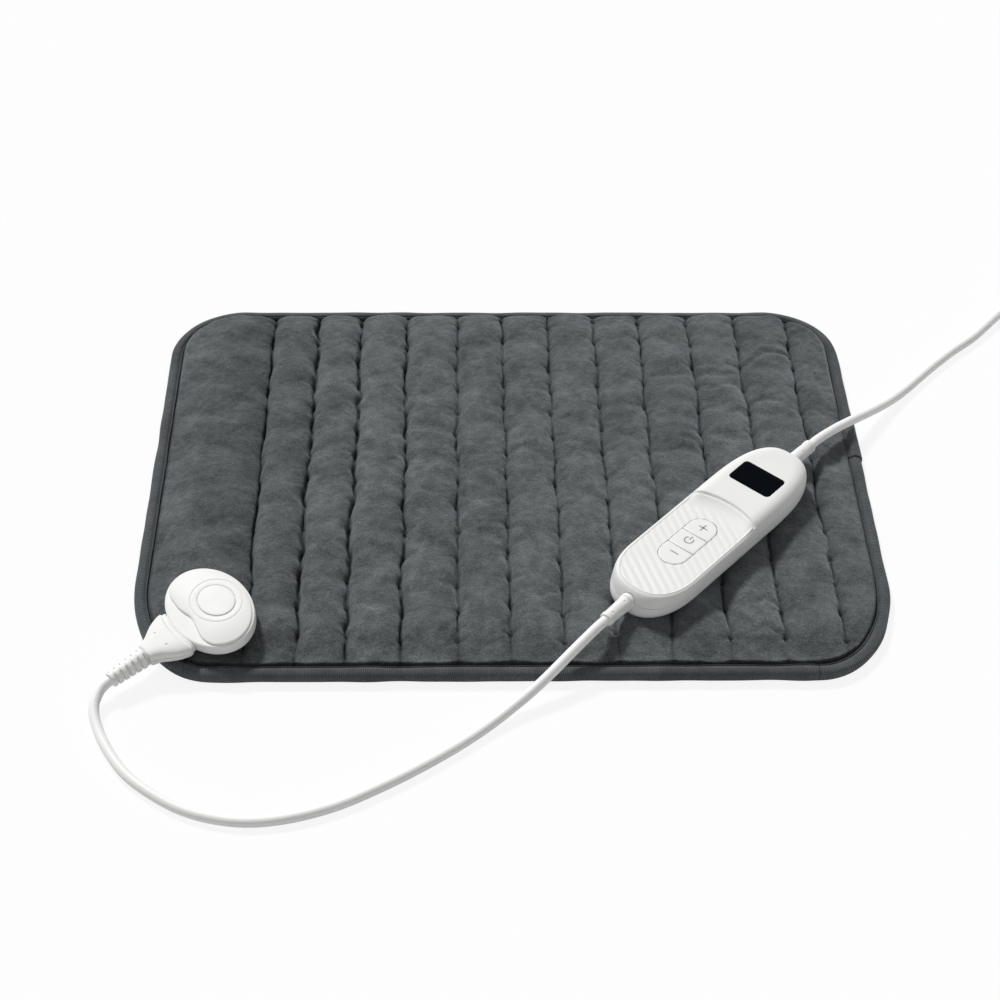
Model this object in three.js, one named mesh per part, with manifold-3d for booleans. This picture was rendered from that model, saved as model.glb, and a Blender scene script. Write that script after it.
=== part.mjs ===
// Heating pad with a plug-in controller, in millimetres.
// The origin is the centre of the pad's underside. +X runs along the pad to the controller's side,
// +Y runs away from the user and +Z is up.
import * as THREE from 'three';
import { mergeVertices } from 'three/addons/utils/BufferGeometryUtils.js';
import Module from 'manifold-3d';

const wasm = await Module();
wasm.setup();

const degree = Math.PI / 180;
const fit = 0.3; // clearance between pieces that meet
const overrun = 1; // how far a cut runs past the face it opens

// Pad outline
const padWidth = 400;
const padDepth = 300;
const frontCorner = [45, 68]; // how far each corner's curve reaches along X and along Y
const backCorner = [42, 42];
const cornerSteps = 8;

// Edge binding, a folded tape with a groove that holds the cloth edges
const bindingWidth = 7;
const bindingHeight = 7.5;
const grooveFloor = 2;
const grooveRoof = 5.1;
const grooveDepth = 3;
const bindingRounding = 1.4;

// Cloths, wadding and felt
const clothThickness = 1;
const topClothThickness = 1.2;
const topEdgeHeight = 4.8;
const clothGap = 0.5; // between the top cloth and the binding's inner edge
const hemWidth = 4.7;
const seamHeight = 8;
const crownHeight = 13;
const endRoll = 12;
const feltThickness = 1.2;
const feltMargin = 13;
const waddingFloor = 5;
const waddingMargin = 11.5;
const waddingSlack = 0.6;
const undersideRise = 3;

// How the plush is pressed down beside and under the socket and the plug
const pressMargin = 2;
const pressClearance = 1.3;
const pressSlope = 0.9;

// Quilting: one wide border channel, then narrow ones
const borderChannelWidth = 60.7;
const lastChannelWidth = 29.6;
const seamPitch = 28.2;
const seamSpacingShares = [0.95, 0.91, 1, 1.05, 0.96, 0.99, 0.98, 0.96, 1.07, 1.02, 1.11];
const archPower = 2.6;
const crownShares = [0.2, 0.5, 0.8];
const borderShares = [0.1, 0.3, 0.5, 0.7, 0.88];
const lastShares = [0.25, 0.55, 0.8, 1];
const frontRowShares = [0, 0.35, 1, 2.5, 5];
const backRowShares = [1, 0.35, 0];

// Heating wire, laid one run to a channel
const wireDiameter = 2.2;
const wireLift = 1.4; // from the felt to the wire's centre
const runEndFromEdge = 38;
const returnRunFromEdge = 17.5;
const wireLeastBend = 4;
const wireSides = 6;
const turnSteps = 5;

// Flat safety parts that lie beside the wire
const cutoutLength = 12;
const cutoutWidth = 4.4;
const cutoutHeight = 2.1;
const sensorDiameter = 2.1;
const sensorLength = 6;
const partFromWire = 2.6;
const cutoutLaneShares = [0.2, 0.8]; // which of the wire's runs each lies beside
const sensorLaneShare = 0.45;

// Socket on the pad, in its own tilted frame whose floor is the plug's underside
const socketFromSide = 42.7;
const socketFromFront = 35.4;
const socketX = -padWidth / 2 + socketFromSide;
const socketY = -padDepth / 2 + socketFromFront;
const socketAngle = 220.5 * degree;
const socketTilt = 7 * degree;
const plugClearAtBinding = 0.4;
const plugCrossing = 31; // from the socket's centre to where the plug crosses the binding's top
const socketLong = 58.4;
const socketShort = 42.4;
const socketSkew = -7 * degree;
const socketOffset = -1.7;
const socketWall = 2;
const socketRim = 0.8;
const housingFloor = 2.2;
const housingShelf = 8.2;
const housingFloorThickness = 1.2;
const socketTop = 9.5;
const coverInset = 1.3;
const coverThickness = 1.3;
const coverDome = 0.9;
const crescentFromEdge = 8.3; // from the socket's edge on the plug's side to the cover's
const crescentX = socketOffset + socketShort / 2 - crescentFromEdge;
const crescentBulge = 3.4;
const discLong = 23;
const discShort = 19.6;
const discFromMiddle = -4.1;
const discX = socketOffset + discFromMiddle;
const discThickness = 0.9;
const discRecess = 0.6;
const ringGroove = 0.5; // depth of the ring groove round the disc
const ringInner = 3.6; // from the disc's edge to the groove
const ringWidth = 0.6;

// Socket base inside the pad
const baseFlangeRadius = 20;
const baseFlangeThickness = 1.5;
const neckRadius = 12;
const wireHoleRadius = 2.4;
const baseScrewSpacing = 15;
const baseScrewX = -3;
const baseScrewHeadRadius = 2.3;
const baseScrewHeadHeight = 1.3;
const baseScrewRadius = 1.1;
const baseScrewLength = 5;

// Plug body, its tongue and its contacts
const plugMouthGap = 0.4;
const plugMouthX = socketOffset + socketShort / 2 + plugMouthGap;
const plugBodyLength = 19.6;
const plugEndX = plugMouthX + plugBodyLength;
const plugHeight = 9.5;
const plugSplit = 4.9;
const plugMouthHalfWidth = 16.6;
const plugEndHalfWidth = 6.3;
const plugWall = 1.6;
const plugRounding = 1.6;
const plugUnderRounding = 2.6;
const plugTravel = 16;
const tongueLength = 13;
const tongueHalfWidth = 9.6;
const tongueFloor = 3;
const tongueRoof = 6.8;
const tongueRootLength = 5;
const tongueRootWiden = 2;
const contactPitch = 5.6;
const contactCount = 3;
const pinWidth = 1.6;
const pinHeight = 0.6;
const pinTail = 3;
const sleeveWall = 0.4;
const sleeveLength = 11;

// Ribbed strain relief on the plug
const plugReliefLength = 21.2;
const plugReliefRadius = 5.4;
const plugReliefTipRadius = 4.2;
const plugReliefRibs = 6;
const ribDepth = 0.9;
const ribShare = 0.62;
const reliefSides = 12;

// Controller, in its own frame with +X to the display end and its floor on the crowns
const controllerFromSide = 94.2;
const controllerFromFront = 90.7;
const controllerX = padWidth / 2 - controllerFromSide;
const controllerY = -padDepth / 2 + controllerFromFront;
const controllerAngle = 47.6 * degree;
const controllerLift = crownHeight + fit;
const controllerLength = 148.4;
const controllerWidth = 44.9;
const keyEndReach = 33.4;
const displayEndReach = 48.1;
const keyEndPower = 2.35;
const displayEndPower = 2.7;
const endSteps = 7;
const shellWall = 2;
const partingHeight = 7.6;
const faceHeight = 14.2;
const domeHeight = 17.5;
const ridgePlaceShare = 0.1025; // of the case's length, from its middle
const ridgeX = controllerLength * ridgePlaceShare;
const ridgeSweep = 6.5;
// The case's edges: how far and over what height each draws in, and its points as shares of both
const caseTuck = 4.6;
const caseTuckHeight = 5.4;
const caseTuckShares = [[1, 0], [0.41, 0.24], [0.13, 0.56], [0, 1]];
const faceRounding = 1.8;
const faceShoulder = 2.6;
const faceEdgeShares = [[0.11, 1], [0.39, 0.35], [1, 0]];
const domeInset = 6.5;
const domeRise = 7.4;
const domeEdgeShares = [[0, 1], [0.09, 0.58], [0.29, 0.3], [0.58, 0.1], [1, 0]];
const roofRounding = 2.2;
const floorRounding = 0.7;
const floorRoundingHeight = 2.2;
const domeHollowShares = [[0, 1], [0.34, 0.28], [0.85, 0]];
const keyEndLean = 0.44; // how far the key end draws in for each unit of height
const keyEndUpright = 0.9; // height up to which it stays upright

// Ribs on the key end's face
const ribPitch = 4.3;
const ribHeight = 0.35;
const ribAngle = 59 * degree;
const ribMargin = 5.2;

// Keys
const keysPlaceShare = -0.14;
const keysX = controllerLength * keysPlaceShare;
const keysLength = 40.5;
const keysWidth = 16.6;
const keyPitch = 12.6;
const keyProud = 0.4;
const keyThickness = 1.2;
const keyLip = 1;
const keyLipThickness = 0.8;
const keyTravel = 0.7;
const keyWell = 7.4;

// Circuit board and what it carries
const boardFromEnd = 15.2;
const boardFromSide = 4.9;
const boardLength = controllerLength - boardFromEnd * 2;
const boardWidth = controllerWidth - boardFromSide * 2;
const boardThickness = 1.6;
const boardHeight = 8;
const boardKeyCorner = 7.2;
const boardDisplayCorner = 10.8;
const switchSize = 6;
const switchHeight = 1.7;
const plungerRadius = 1.5;
const plungerHeight = 1;
const displayPlaceShare = 0.273;
const displayX = controllerLength * displayPlaceShare;
const displayLength = 17;
const displayWidth = 26.4;
const windowThickness = 1;
const windowLedge = 1;
const windowCorner = 1.2;
const moduleHeight = 4.4;
const relayLength = 18;
const relayWidth = 10;
const relayHeight = 5;
const relayFromEnd = 44.2;
const relayX = controllerLength / 2 - relayFromEnd;
const partSpacing = 8.5;
const capacitorLength = 13;
const capacitorWidth = 9;
const capacitorHeight = 5;
const capacitorX = relayX - (relayLength + capacitorLength) / 2 - partSpacing;
const fuseRadius = 2.5;
const fuseLength = 20;
const fuseX = capacitorX - fuseLength / 2;
const partOffsetY = 8;

// Case screws and their bosses
const keyScrewFromEnd = 26.2;
const displayScrewFromEnd = 17.2;
const screwFromSide = 10.65;
const keyScrewX = -controllerLength / 2 + keyScrewFromEnd;
const displayScrewX = controllerLength / 2 - displayScrewFromEnd;
const screwY = controllerWidth / 2 - screwFromSide;
const bossRadius = 3;
const screwRadius = 1.1;
const screwHeadRadius = 2.1;
const screwHeadHeight = 1.3;
const screwTop = 11.4;

// Entry bushes in their pockets, and the cradles of the cords inside
const bushHeight = 7.2;
const bushRadius = 4.6;
const bushTipRadius = 3.6;
const bushNeckRadius = 2.9;
const bushFlangeRadius = 3.4;
const bushFlangeThickness = 1.6;
const bushBossRadius = 6.4;
const bushCollar = 3;
const bushStep = 0.5;
const leadBushDepth = 5.6; // how far each pocket reaches into its end of the case
const mainsBushDepth = 2.4;
const leadBushSeat = controllerLength / 2 - leadBushDepth;
const mainsBushSeat = controllerLength / 2 - mainsBushDepth;
const leadBushLength = 20;
const mainsBushLength = 21;
const bushSides = 16;
const clampLength = 5;
const clampWidth = 13;
const clampFromFlange = 4;

// Cords
const cordDiameter = 5.4;
const cordSides = 8;
const cordStepLength = 12;
const cordLift = 2.8; // the centre of a cord that lies on the table

// Coil of mains lead, wound flat in two layers round the inside
const coilX = 355;
const coilY = 138;
const coilMeanDiameter = 60;
const coilTurnsPerLayer = 3.5;
const coilEndTurns = 0.375;
const coilClimbTurns = 0.5; // over which it climbs a layer and turns outwards again
const coilTurnGap = 0.5;
const coilEntryAngle = 36 * degree;
const coilStepsPerTurn = 24;
const coilSides = 6;
const coilTailLevel = 14; // the tail leaves level, then comes down to the plug
const coilTail = 38;
const tieThickness = 0.9;
const tieWidth = 9;
const tieAngle = 100 * degree;

// Mains plug, a flat two-pin one
const mainsReliefLength = 30;
const mainsReliefRadius = 4.8;
const mainsReliefRibs = 5;
const mainsPlugLength = 34;
const mainsPlugWidth = 35;
const mainsPlugHeight = 14;
const mainsPlugNeck = 13;
const mainsPlugSwellShare = 0.62; // of its length, over which it widens
const mainsPlugRounding = 2.5;
const mainsPinSpacing = 19;
const mainsPinRadius = 2;
const mainsPinLength = 19;
const mainsPinSides = 14;

const model = new THREE.Group();

function surface(color, roughness, metalness = 0) {
  return { color, roughness, metalness };
}
const plush = surface(0x54585a, 0.95);
const tape = surface(0x3f4345, 0.9);
const wadding = surface(0xe6e6e2, 1);
const felt = surface(0xbdb9ae, 1);
const wireCover = surface(0xb9543c, 0.6);
const safetyPart = surface(0xd9cfae, 0.5);
const whitePlastic = surface(0xeeeeec, 0.35);
const whiteKey = surface(0xf0f0ee, 0.4);
const innerPlastic = surface(0xd8d8d4, 0.5);
const blackPlastic = surface(0x1d1f22, 0.4);
const displayGlass = surface(0x04080f, 0.08);
const boardGreen = surface(0x1f6a45, 0.5);
const relayBlue = surface(0x2b5f9e, 0.5);
const fuseGlass = surface(0xcfd8d8, 0.1);
const copperAlloy = surface(0xc9a45a, 0.3, 1);
const steel = surface(0xb6b8ba, 0.35, 1);
const cordCover = surface(0xf3f3f1, 0.45);

function addPiece(name, geometry, finish, parent = model) {
  const mesh = new THREE.Mesh(geometry, new THREE.MeshStandardMaterial(finish));
  mesh.name = name;
  parent.add(mesh);
  return mesh;
}

// Turns a geometry into one with shared corners, no empty triangles and its faces pointing out.
function cleaned(geometry) {
  const bare = geometry.clone();
  bare.deleteAttribute('normal');
  bare.deleteAttribute('uv');
  const merged = mergeVertices(bare);
  const index = merged.index.array;
  const place = merged.attributes.position;
  const kept = [];
  let volume = 0;
  const a = new THREE.Vector3();
  const b = new THREE.Vector3();
  const c = new THREE.Vector3();
  for (let i = 0; i < index.length; i += 3) {
    const [p, q, r] = [index[i], index[i + 1], index[i + 2]];
    if (p === q || q === r || r === p) continue;
    kept.push(p, q, r);
    a.fromBufferAttribute(place, p);
    b.fromBufferAttribute(place, q);
    c.fromBufferAttribute(place, r);
    volume += a.dot(b.cross(c));
  }
  if (volume < 0) kept.reverse();
  merged.setIndex(kept);
  return merged;
}

function toSolid(geometry) {
  const closed = cleaned(geometry);
  return new wasm.Manifold(new wasm.Mesh({
    numProp: 3,
    vertProperties: closed.attributes.position.array,
    triVerts: new Uint32Array(closed.index.array),
  }));
}

function toGeometry(solid) {
  const mesh = solid.getMesh();
  const geometry = new THREE.BufferGeometry();
  const corners = new Float32Array((mesh.vertProperties.length / mesh.numProp) * 3);
  for (let i = 0; i < corners.length / 3; i += 1) {
    corners.set(mesh.vertProperties.subarray(i * mesh.numProp, i * mesh.numProp + 3), i * 3);
  }
  geometry.setAttribute('position', new THREE.BufferAttribute(corners, 3));
  geometry.setIndex(Array.from(mesh.triVerts));
  return geometry;
}

function cut(body, ...tools) {
  return tools.reduce((left, tool) => left.subtract(toSolid(tool)), body);
}

function joined(body, ...others) {
  return others.reduce((sum, other) => sum.add(toSolid(other)), body);
}

// A box given by its lowest and highest corners.
function boxBetween(low, high) {
  const size = high.map((value, k) => value - low[k]);
  const middle = high.map((value, k) => (value + low[k]) / 2);
  return new THREE.BoxGeometry(...size).translate(...middle);
}

// An upright cylinder from one height to another.
function post(x, y, radius, bottom, top, sides = 20) {
  return new THREE.CylinderGeometry(radius, radius, top - bottom, sides)
    .rotateX(Math.PI / 2)
    .translate(x, y, (bottom + top) / 2);
}

// A cylinder along X from one place to another.
function rod(y, z, radius, start, end, sides = 16) {
  return new THREE.CylinderGeometry(radius, radius, end - start, sides)
    .rotateZ(Math.PI / 2)
    .translate((start + end) / 2, y, z);
}

// A turned body round an axis along X. The profile lists [distance along X, radius].
function turned(profile, sides) {
  const points = profile.map(([along, radius]) => new THREE.Vector2(radius, along));
  return new THREE.LatheGeometry(points, sides).rotateZ(-Math.PI / 2);
}

function prism(points, bottom, top) {
  const shape = new THREE.Shape(points.map(([x, y]) => new THREE.Vector2(x, y)));
  return new THREE.ExtrudeGeometry(shape, { depth: top - bottom, bevelEnabled: false })
    .translate(0, 0, bottom);
}

// Joins rings of equal length into one closed body. Open rows get a flat cap at each end.
function bodyFromRings(rings, closedOnItself = false) {
  const count = rings[0].length;
  const corners = rings.flat(2);
  const index = [];
  const last = closedOnItself ? rings.length : rings.length - 1;
  for (let i = 0; i < last; i += 1) {
    const here = i * count;
    const next = ((i + 1) % rings.length) * count;
    for (let j = 0; j < count; j += 1) {
      const k = (j + 1) % count;
      index.push(here + j, here + k, next + k, here + j, next + k, next + j);
    }
  }
  if (!closedOnItself) {
    for (const ring of [0, rings.length - 1]) {
      const middle = corners.length / 3;
      const centre = [0, 1, 2].map((k) => rings[ring].reduce((sum, p) => sum + p[k], 0) / count);
      corners.push(...centre);
      for (let j = 0; j < count; j += 1) {
        const [p, q] = [ring * count + j, ring * count + ((j + 1) % count)];
        index.push(...(ring === 0 ? [middle, q, p] : [middle, p, q]));
      }
    }
  }
  const geometry = new THREE.BufferGeometry();
  geometry.setAttribute('position', new THREE.Float32BufferAttribute(corners, 3));
  geometry.setIndex(index);
  return cleaned(geometry);
}

// A body through levels of [inset, height], each the same outline drawn in by its inset.
// Where an outline has an end that is drawn in on its own, a level's third value is that inset.
function stacked(outline, levels) {
  return bodyFromRings(levels.map(
    ([inset, z, endInset]) => outline(inset, endInset).map(([x, y]) => [x, y, z]),
  ));
}

// A round tube through centreline points, with flat ends.
function tubeThrough(points, radius, sides) {
  const up = new THREE.Vector3(0, 0, 1);
  const rings = points.map((point, i) => {
    const before = points[Math.max(i - 1, 0)];
    const after = points[Math.min(i + 1, points.length - 1)];
    const ahead = after.clone().sub(before).normalize();
    const side = ahead.clone().cross(up).normalize();
    const rise = side.clone().cross(ahead);
    return Array.from({ length: sides }, (_, k) => {
      const angle = (k + 0.5) * 2 * Math.PI / sides;
      return point.clone()
        .addScaledVector(side, radius * Math.cos(angle))
        .addScaledVector(rise, radius * Math.sin(angle))
        .toArray();
    });
  });
  return bodyFromRings(rings);
}

// Pad outline at an inset, anticlockwise from the front right corner.
function padOutline(inset) {
  const corners = [
    [1, -1, frontCorner, -90 * degree],
    [1, 1, backCorner, 0],
    [-1, 1, backCorner, 90 * degree],
    [-1, -1, frontCorner, 180 * degree],
  ];
  return corners.flatMap(([sideX, sideY, [reachX, reachY], start]) => {
    const cx = sideX * (padWidth / 2 - reachX);
    const cy = sideY * (padDepth / 2 - reachY);
    return Array.from({ length: cornerSteps + 1 }, (_, i) => {
      const angle = start + (i / cornerSteps) * 90 * degree;
      return [cx + (reachX - inset) * Math.cos(angle), cy + (reachY - inset) * Math.sin(angle)];
    });
  });
}

// How far a point lies inside the pad's outline, found by halving.
function edgeDistance(x, y) {
  const [reachX, reachY] = y < 0 ? frontCorner : backCorner;
  const beyondX = Math.abs(x) - (padWidth / 2 - reachX);
  const beyondY = Math.abs(y) - (padDepth / 2 - reachY);
  if (beyondX <= 0 || beyondY <= 0) return Math.min(reachX - beyondX, reachY - beyondY);
  let low = -Math.max(reachX, reachY);
  let high = Math.min(reachX, reachY);
  for (let i = 0; i < 24; i += 1) {
    const middle = (low + high) / 2;
    const inside = (beyondX / (reachX - middle)) ** 2 + (beyondY / (reachY - middle)) ** 2 < 1;
    if (inside) low = middle;
    else high = middle;
  }
  return low;
}

// The column from front to back at x, inside the outline at an inset.
function columnEnds(x, inset) {
  const reach = ([reachX, reachY]) => {
    const beyond = Math.max(Math.abs(x) - (padWidth / 2 - reachX), 0) / (reachX - inset);
    return padDepth / 2 - reachY + (reachY - inset) * Math.sqrt(Math.max(1 - beyond ** 2, 0));
  };
  return [-reach(frontCorner), reach(backCorner)];
}

// Seams between the border channel and the last one, as many as fit at about the pitch.
const quiltSpan = padWidth - borderChannelWidth - lastChannelWidth;
const seamSpacings = Array.from(
  { length: Math.round(quiltSpan / seamPitch) },
  (_, k) => seamSpacingShares[k % seamSpacingShares.length],
);
const spacingSum = seamSpacings.reduce((sum, share) => sum + share, 0);
const seams = [-padWidth / 2 + borderChannelWidth];
for (const share of seamSpacings) {
  seams.push(seams[seams.length - 1] + quiltSpan * share / spacingSum);
}

// Height of the socket frame's floor, so that the tilted plug clears the binding.
const socketLift = bindingHeight + plugClearAtBinding + plugCrossing * Math.sin(socketTilt);

// Place of a pad point in the socket's frame, seen from above.
function inSocketPlan(x, y) {
  const dx = x - socketX;
  const dy = y - socketY;
  return [
    dx * Math.cos(socketAngle) + dy * Math.sin(socketAngle),
    -dx * Math.sin(socketAngle) + dy * Math.cos(socketAngle),
  ];
}

// The plush is pressed down under the socket and the plug.
function pressedHeight(x, y) {
  const [along, across] = inSocketPlan(x, y);
  const plane = socketLift - along * Math.tan(socketTilt) - pressClearance;
  const socketReach = Math.hypot(along / socketShort, across / socketLong) * socketLong;
  const outsideSocket = Math.max(socketReach - socketLong / 2 - pressMargin, 0);
  const outsidePlug = Math.max(
    Math.abs(across) - plugMouthHalfWidth - pressMargin,
    plugMouthX - pressMargin - along,
    0,
  );
  return Math.min(
    plane + housingFloor + outsideSocket * pressSlope,
    plane + outsidePlug * pressSlope,
  );
}

// Height of the quilted top cloth.
function quiltHeight(x, y) {
  const walls = [-padWidth / 2 + bindingWidth, ...seams, padWidth / 2 - bindingWidth];
  const k = Math.max(walls.findIndex((wall) => x <= wall), 1);
  const share = (x - walls[k - 1]) / (walls[k] - walls[k - 1]);
  const arch = 1 - Math.abs(2 * Math.min(Math.max(share, 0), 1) - 1) ** archPower;
  const channel = seamHeight + (crownHeight - seamHeight) * arch;
  const inside = Math.min(Math.max(edgeDistance(x, y) - bindingWidth - fit, 0) / endRoll, 1);
  const roll = Math.sqrt(1 - (1 - inside) ** 2);
  const free = topEdgeHeight + (channel - topEdgeHeight) * roll;
  return Math.max(Math.min(free, pressedHeight(x, y)), topEdgeHeight);
}

// Quilted layer on a grid of columns, between a lower and an upper height function.
function quiltedLayer(inset, columns, frontRows, backRows, lower, upper) {
  const grid = columns.map((x) => {
    const [front, back] = columnEnds(x, inset);
    const rows = [...frontRows.map((row) => front + row), ...backRows.map((row) => back - row)];
    return rows.map((y) => [x, y]);
  });
  const rowCount = frontRows.length + backRows.length;
  const corners = [];
  for (const height of [lower, upper]) {
    for (const column of grid) {
      for (const [x, y] of column) corners.push(x, y, height(x, y));
    }
  }
  const place = (level, i, j) => (level * grid.length + i) * rowCount + j;
  const index = [];
  const quad = (a, b, c, d) => index.push(a, b, c, a, c, d);
  for (let i = 0; i < grid.length - 1; i += 1) {
    for (let j = 0; j < rowCount - 1; j += 1) {
      quad(place(1, i, j), place(1, i + 1, j), place(1, i + 1, j + 1), place(1, i, j + 1));
      quad(place(0, i, j), place(0, i, j + 1), place(0, i + 1, j + 1), place(0, i + 1, j));
    }
    quad(place(0, i, 0), place(0, i + 1, 0), place(1, i + 1, 0), place(1, i, 0));
    const end = rowCount - 1;
    quad(place(0, i, end), place(1, i, end), place(1, i + 1, end), place(0, i + 1, end));
  }
  for (let j = 0; j < rowCount - 1; j += 1) {
    const end = grid.length - 1;
    quad(place(0, 0, j), place(1, 0, j), place(1, 0, j + 1), place(0, 0, j + 1));
    quad(place(0, end, j), place(0, end, j + 1), place(1, end, j + 1), place(1, end, j));
  }
  const geometry = new THREE.BufferGeometry();
  geometry.setAttribute('position', new THREE.Float32BufferAttribute(corners, 3));
  geometry.setIndex(index);
  return cleaned(geometry);
}

// Columns of the quilt, from the left edge at an inset to the right one.
function quiltColumns(inset) {
  const start = -padWidth / 2 + inset;
  const end = padWidth / 2 - inset;
  const between = (from, to, shares) => shares.map((share) => from + (to - from) * share);
  const first = -padWidth / 2 + waddingMargin;
  const columns = [start, first, ...between(first, seams[0], borderShares)];
  for (let k = 0; k < seams.length - 1; k += 1) {
    columns.push(seams[k], ...between(seams[k], seams[k + 1], crownShares));
  }
  const last = seams[seams.length - 1];
  columns.push(last, ...between(last, padWidth / 2 - waddingMargin, lastShares), end);
  return columns;
}

function padLayers() {
  const section = [
    [bindingWidth, grooveRoof],
    [bindingWidth, bindingHeight - bindingRounding],
    [bindingWidth - bindingRounding, bindingHeight],
    [bindingWidth / 2, bindingHeight],
    [bindingRounding, bindingHeight - bindingRounding / 2],
    [0, bindingHeight / 2 + bindingRounding / 2],
    [0, bindingHeight / 2 - bindingRounding / 2],
    [bindingRounding, bindingRounding / 2],
    [bindingWidth / 2, 0],
    [bindingWidth - bindingRounding, 0],
    [bindingWidth, bindingRounding / 2],
    [bindingWidth, grooveFloor],
    [bindingWidth - grooveDepth, grooveFloor],
    [bindingWidth - grooveDepth, grooveRoof],
  ];
  const rings = section.map(([inset, z]) => padOutline(inset).map(([x, y]) => [x, y, z]));
  addPiece('edge_binding', bodyFromRings(rings, true), tape);

  const hemOuter = bindingWidth - grooveDepth + fit;
  const hemInner = hemOuter + hemWidth;
  const bottomEdge = grooveFloor + fit;
  addPiece('bottom_cover', stacked(padOutline, [
    [hemInner + undersideRise, 0],
    [hemInner, bottomEdge],
    [hemOuter, bottomEdge],
    [hemOuter, bottomEdge + clothThickness],
    [hemInner, bottomEdge + clothThickness],
    [hemInner + undersideRise, clothThickness],
  ]), plush);
  addPiece('carrier_felt', stacked(padOutline, [
    [feltMargin, clothThickness],
    [feltMargin, clothThickness + feltThickness],
  ]), felt);

  const clothInset = bindingWidth + clothGap;
  const rowsFrom = (shares) => shares.map((share) => share * endRoll);
  const layer = (lower, upper) => quiltedLayer(
    clothInset, quiltColumns(clothInset), rowsFrom(frontRowShares), rowsFrom(backRowShares),
    lower, upper,
  );
  const quilt = layer((x, y) => quiltHeight(x, y) - topClothThickness, quiltHeight);
  const hem = toSolid(stacked(padOutline, [
    [hemOuter, topEdgeHeight - topClothThickness],
    [hemOuter, topEdgeHeight],
  ])).subtract(toSolid(stacked(padOutline, [
    [hemInner, topEdgeHeight - topClothThickness - overrun],
    [hemInner, topEdgeHeight + overrun],
  ])));
  const neckHole = post(
    socketX, socketY, neckRadius + fit, 0, socketLift + socketTop, 24,
  );
  addPiece('top_cover', toGeometry(cut(hem.add(toSolid(quilt)), neckHole)), plush);

  const underCloth = layer(() => 0, (x, y) => quiltHeight(x, y) - topClothThickness - waddingSlack);
  const filling = toSolid(underCloth).intersect(toSolid(stacked(padOutline, [
    [waddingMargin, waddingFloor],
    [waddingMargin, crownHeight],
  ])));
  addPiece('upper_padding', toGeometry(cut(filling, neckHole)), wadding);
}

// Heating wire: up one channel and down the next, then back along the front edge.
function heatingWire() {
  const z = clothThickness + feltThickness + wireLift;
  const startX = socketX + baseFlangeRadius + fit;
  const startY = socketY + wireDiameter;
  const walls = [...seams, padWidth / 2 - bindingWidth];
  const lanes = walls.slice(1)
    .map((wall, k) => (wall + walls[k]) / 2)
    .filter((lane) => lane - startX > 2 * wireLeastBend);
  if (lanes.length % 2 === 1) lanes.pop(); // the last run comes back to the front edge
  const front = -padDepth / 2 + runEndFromEdge;
  const back = padDepth / 2 - runEndFromEdge;
  const points = [];
  const put = (x, y) => points.push(new THREE.Vector3(x, y, z));
  const turn = (cx, cy, radiusX, radiusY, from, to) => {
    for (let i = 0; i <= turnSteps; i += 1) {
      const angle = from + (to - from) * (i / turnSteps);
      put(cx + radiusX * Math.cos(angle), cy + radiusY * Math.sin(angle));
    }
  };
  const firstBend = (lanes[0] - startX) / 2;
  put(startX, startY);
  turn(lanes[0] - firstBend, startY + firstBend, firstBend, firstBend, -90 * degree, 0);
  for (let k = 0; k < lanes.length - 1; k += 1) {
    const reach = (lanes[k + 1] - lanes[k]) / 2;
    const middle = lanes[k] + reach;
    if (k % 2 === 0) turn(middle, back, reach, reach, 180 * degree, 0);
    else turn(middle, front, reach, reach, -180 * degree, 0);
  }
  const last = lanes[lanes.length - 1];
  const returnY = -padDepth / 2 + returnRunFromEdge;
  const bend = front - returnY;
  turn(last - bend, front, bend, bend, 0, -90 * degree);
  const endDrop = socketY - returnY - wireDiameter / 2;
  put(socketX + Math.sqrt((baseFlangeRadius + fit) ** 2 - endDrop ** 2), returnY);
  addPiece('heating_wire', tubeThrough(points, wireDiameter / 2, wireSides), wireCover);

  const floor = clothThickness + feltThickness;
  const beside = (share) => lanes[Math.floor(lanes.length * share)]
    + wireDiameter / 2 + partFromWire;
  ['left', 'right'].forEach((side, k) => {
    const x = beside(cutoutLaneShares[k]);
    addPiece(`thermal_cutout_${side}`, boxBetween(
      [x - cutoutWidth / 2, -cutoutLength / 2, floor],
      [x + cutoutWidth / 2, cutoutLength / 2, floor + cutoutHeight],
    ), safetyPart);
  });
  const sensor = new THREE.CapsuleGeometry(sensorDiameter / 2, sensorLength, 3, 10);
  addPiece('temperature_sensor', sensor, blackPlastic)
    .position.set(beside(sensorLaneShare), 0, floor + fit + sensorDiameter / 2);
}

const socketFrame = new THREE.Group();
socketFrame.position.set(socketX, socketY, socketLift);
socketFrame.rotation.set(0, socketTilt, socketAngle, 'ZYX');
model.add(socketFrame);

// Egg outline of the socket at an inset.
function socketOutline(inset) {
  const steps = 40;
  return Array.from({ length: steps }, (_, i) => {
    const angle = (i / steps) * 2 * Math.PI;
    const x = (socketShort / 2 - inset) * Math.cos(angle);
    const y = (socketLong / 2 - inset) * Math.sin(angle);
    return [
      socketOffset + x * Math.cos(socketSkew) - y * Math.sin(socketSkew),
      x * Math.sin(socketSkew) + y * Math.cos(socketSkew),
    ];
  });
}

function ovalOutline(shrink) {
  const steps = 28;
  return Array.from({ length: steps }, (_, i) => {
    const angle = (i / steps) * 2 * Math.PI;
    return [
      discX + (discShort / 2 - shrink) * Math.cos(angle),
      (discLong / 2 - shrink) * Math.sin(angle),
    ];
  });
}

// The socket cover stops at a curve on the plug's side.
function crescentRegion(gap) {
  const steps = 8;
  const points = [];
  for (let i = 0; i <= steps; i += 1) {
    const share = i / steps * 2 - 1;
    const y = share * socketLong / 2;
    points.push([crescentX + crescentBulge * share * Math.abs(share) - gap, y]);
  }
  const far = -socketLong;
  points.push([far, socketLong / 2], [far, -socketLong / 2]);
  return points;
}

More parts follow.
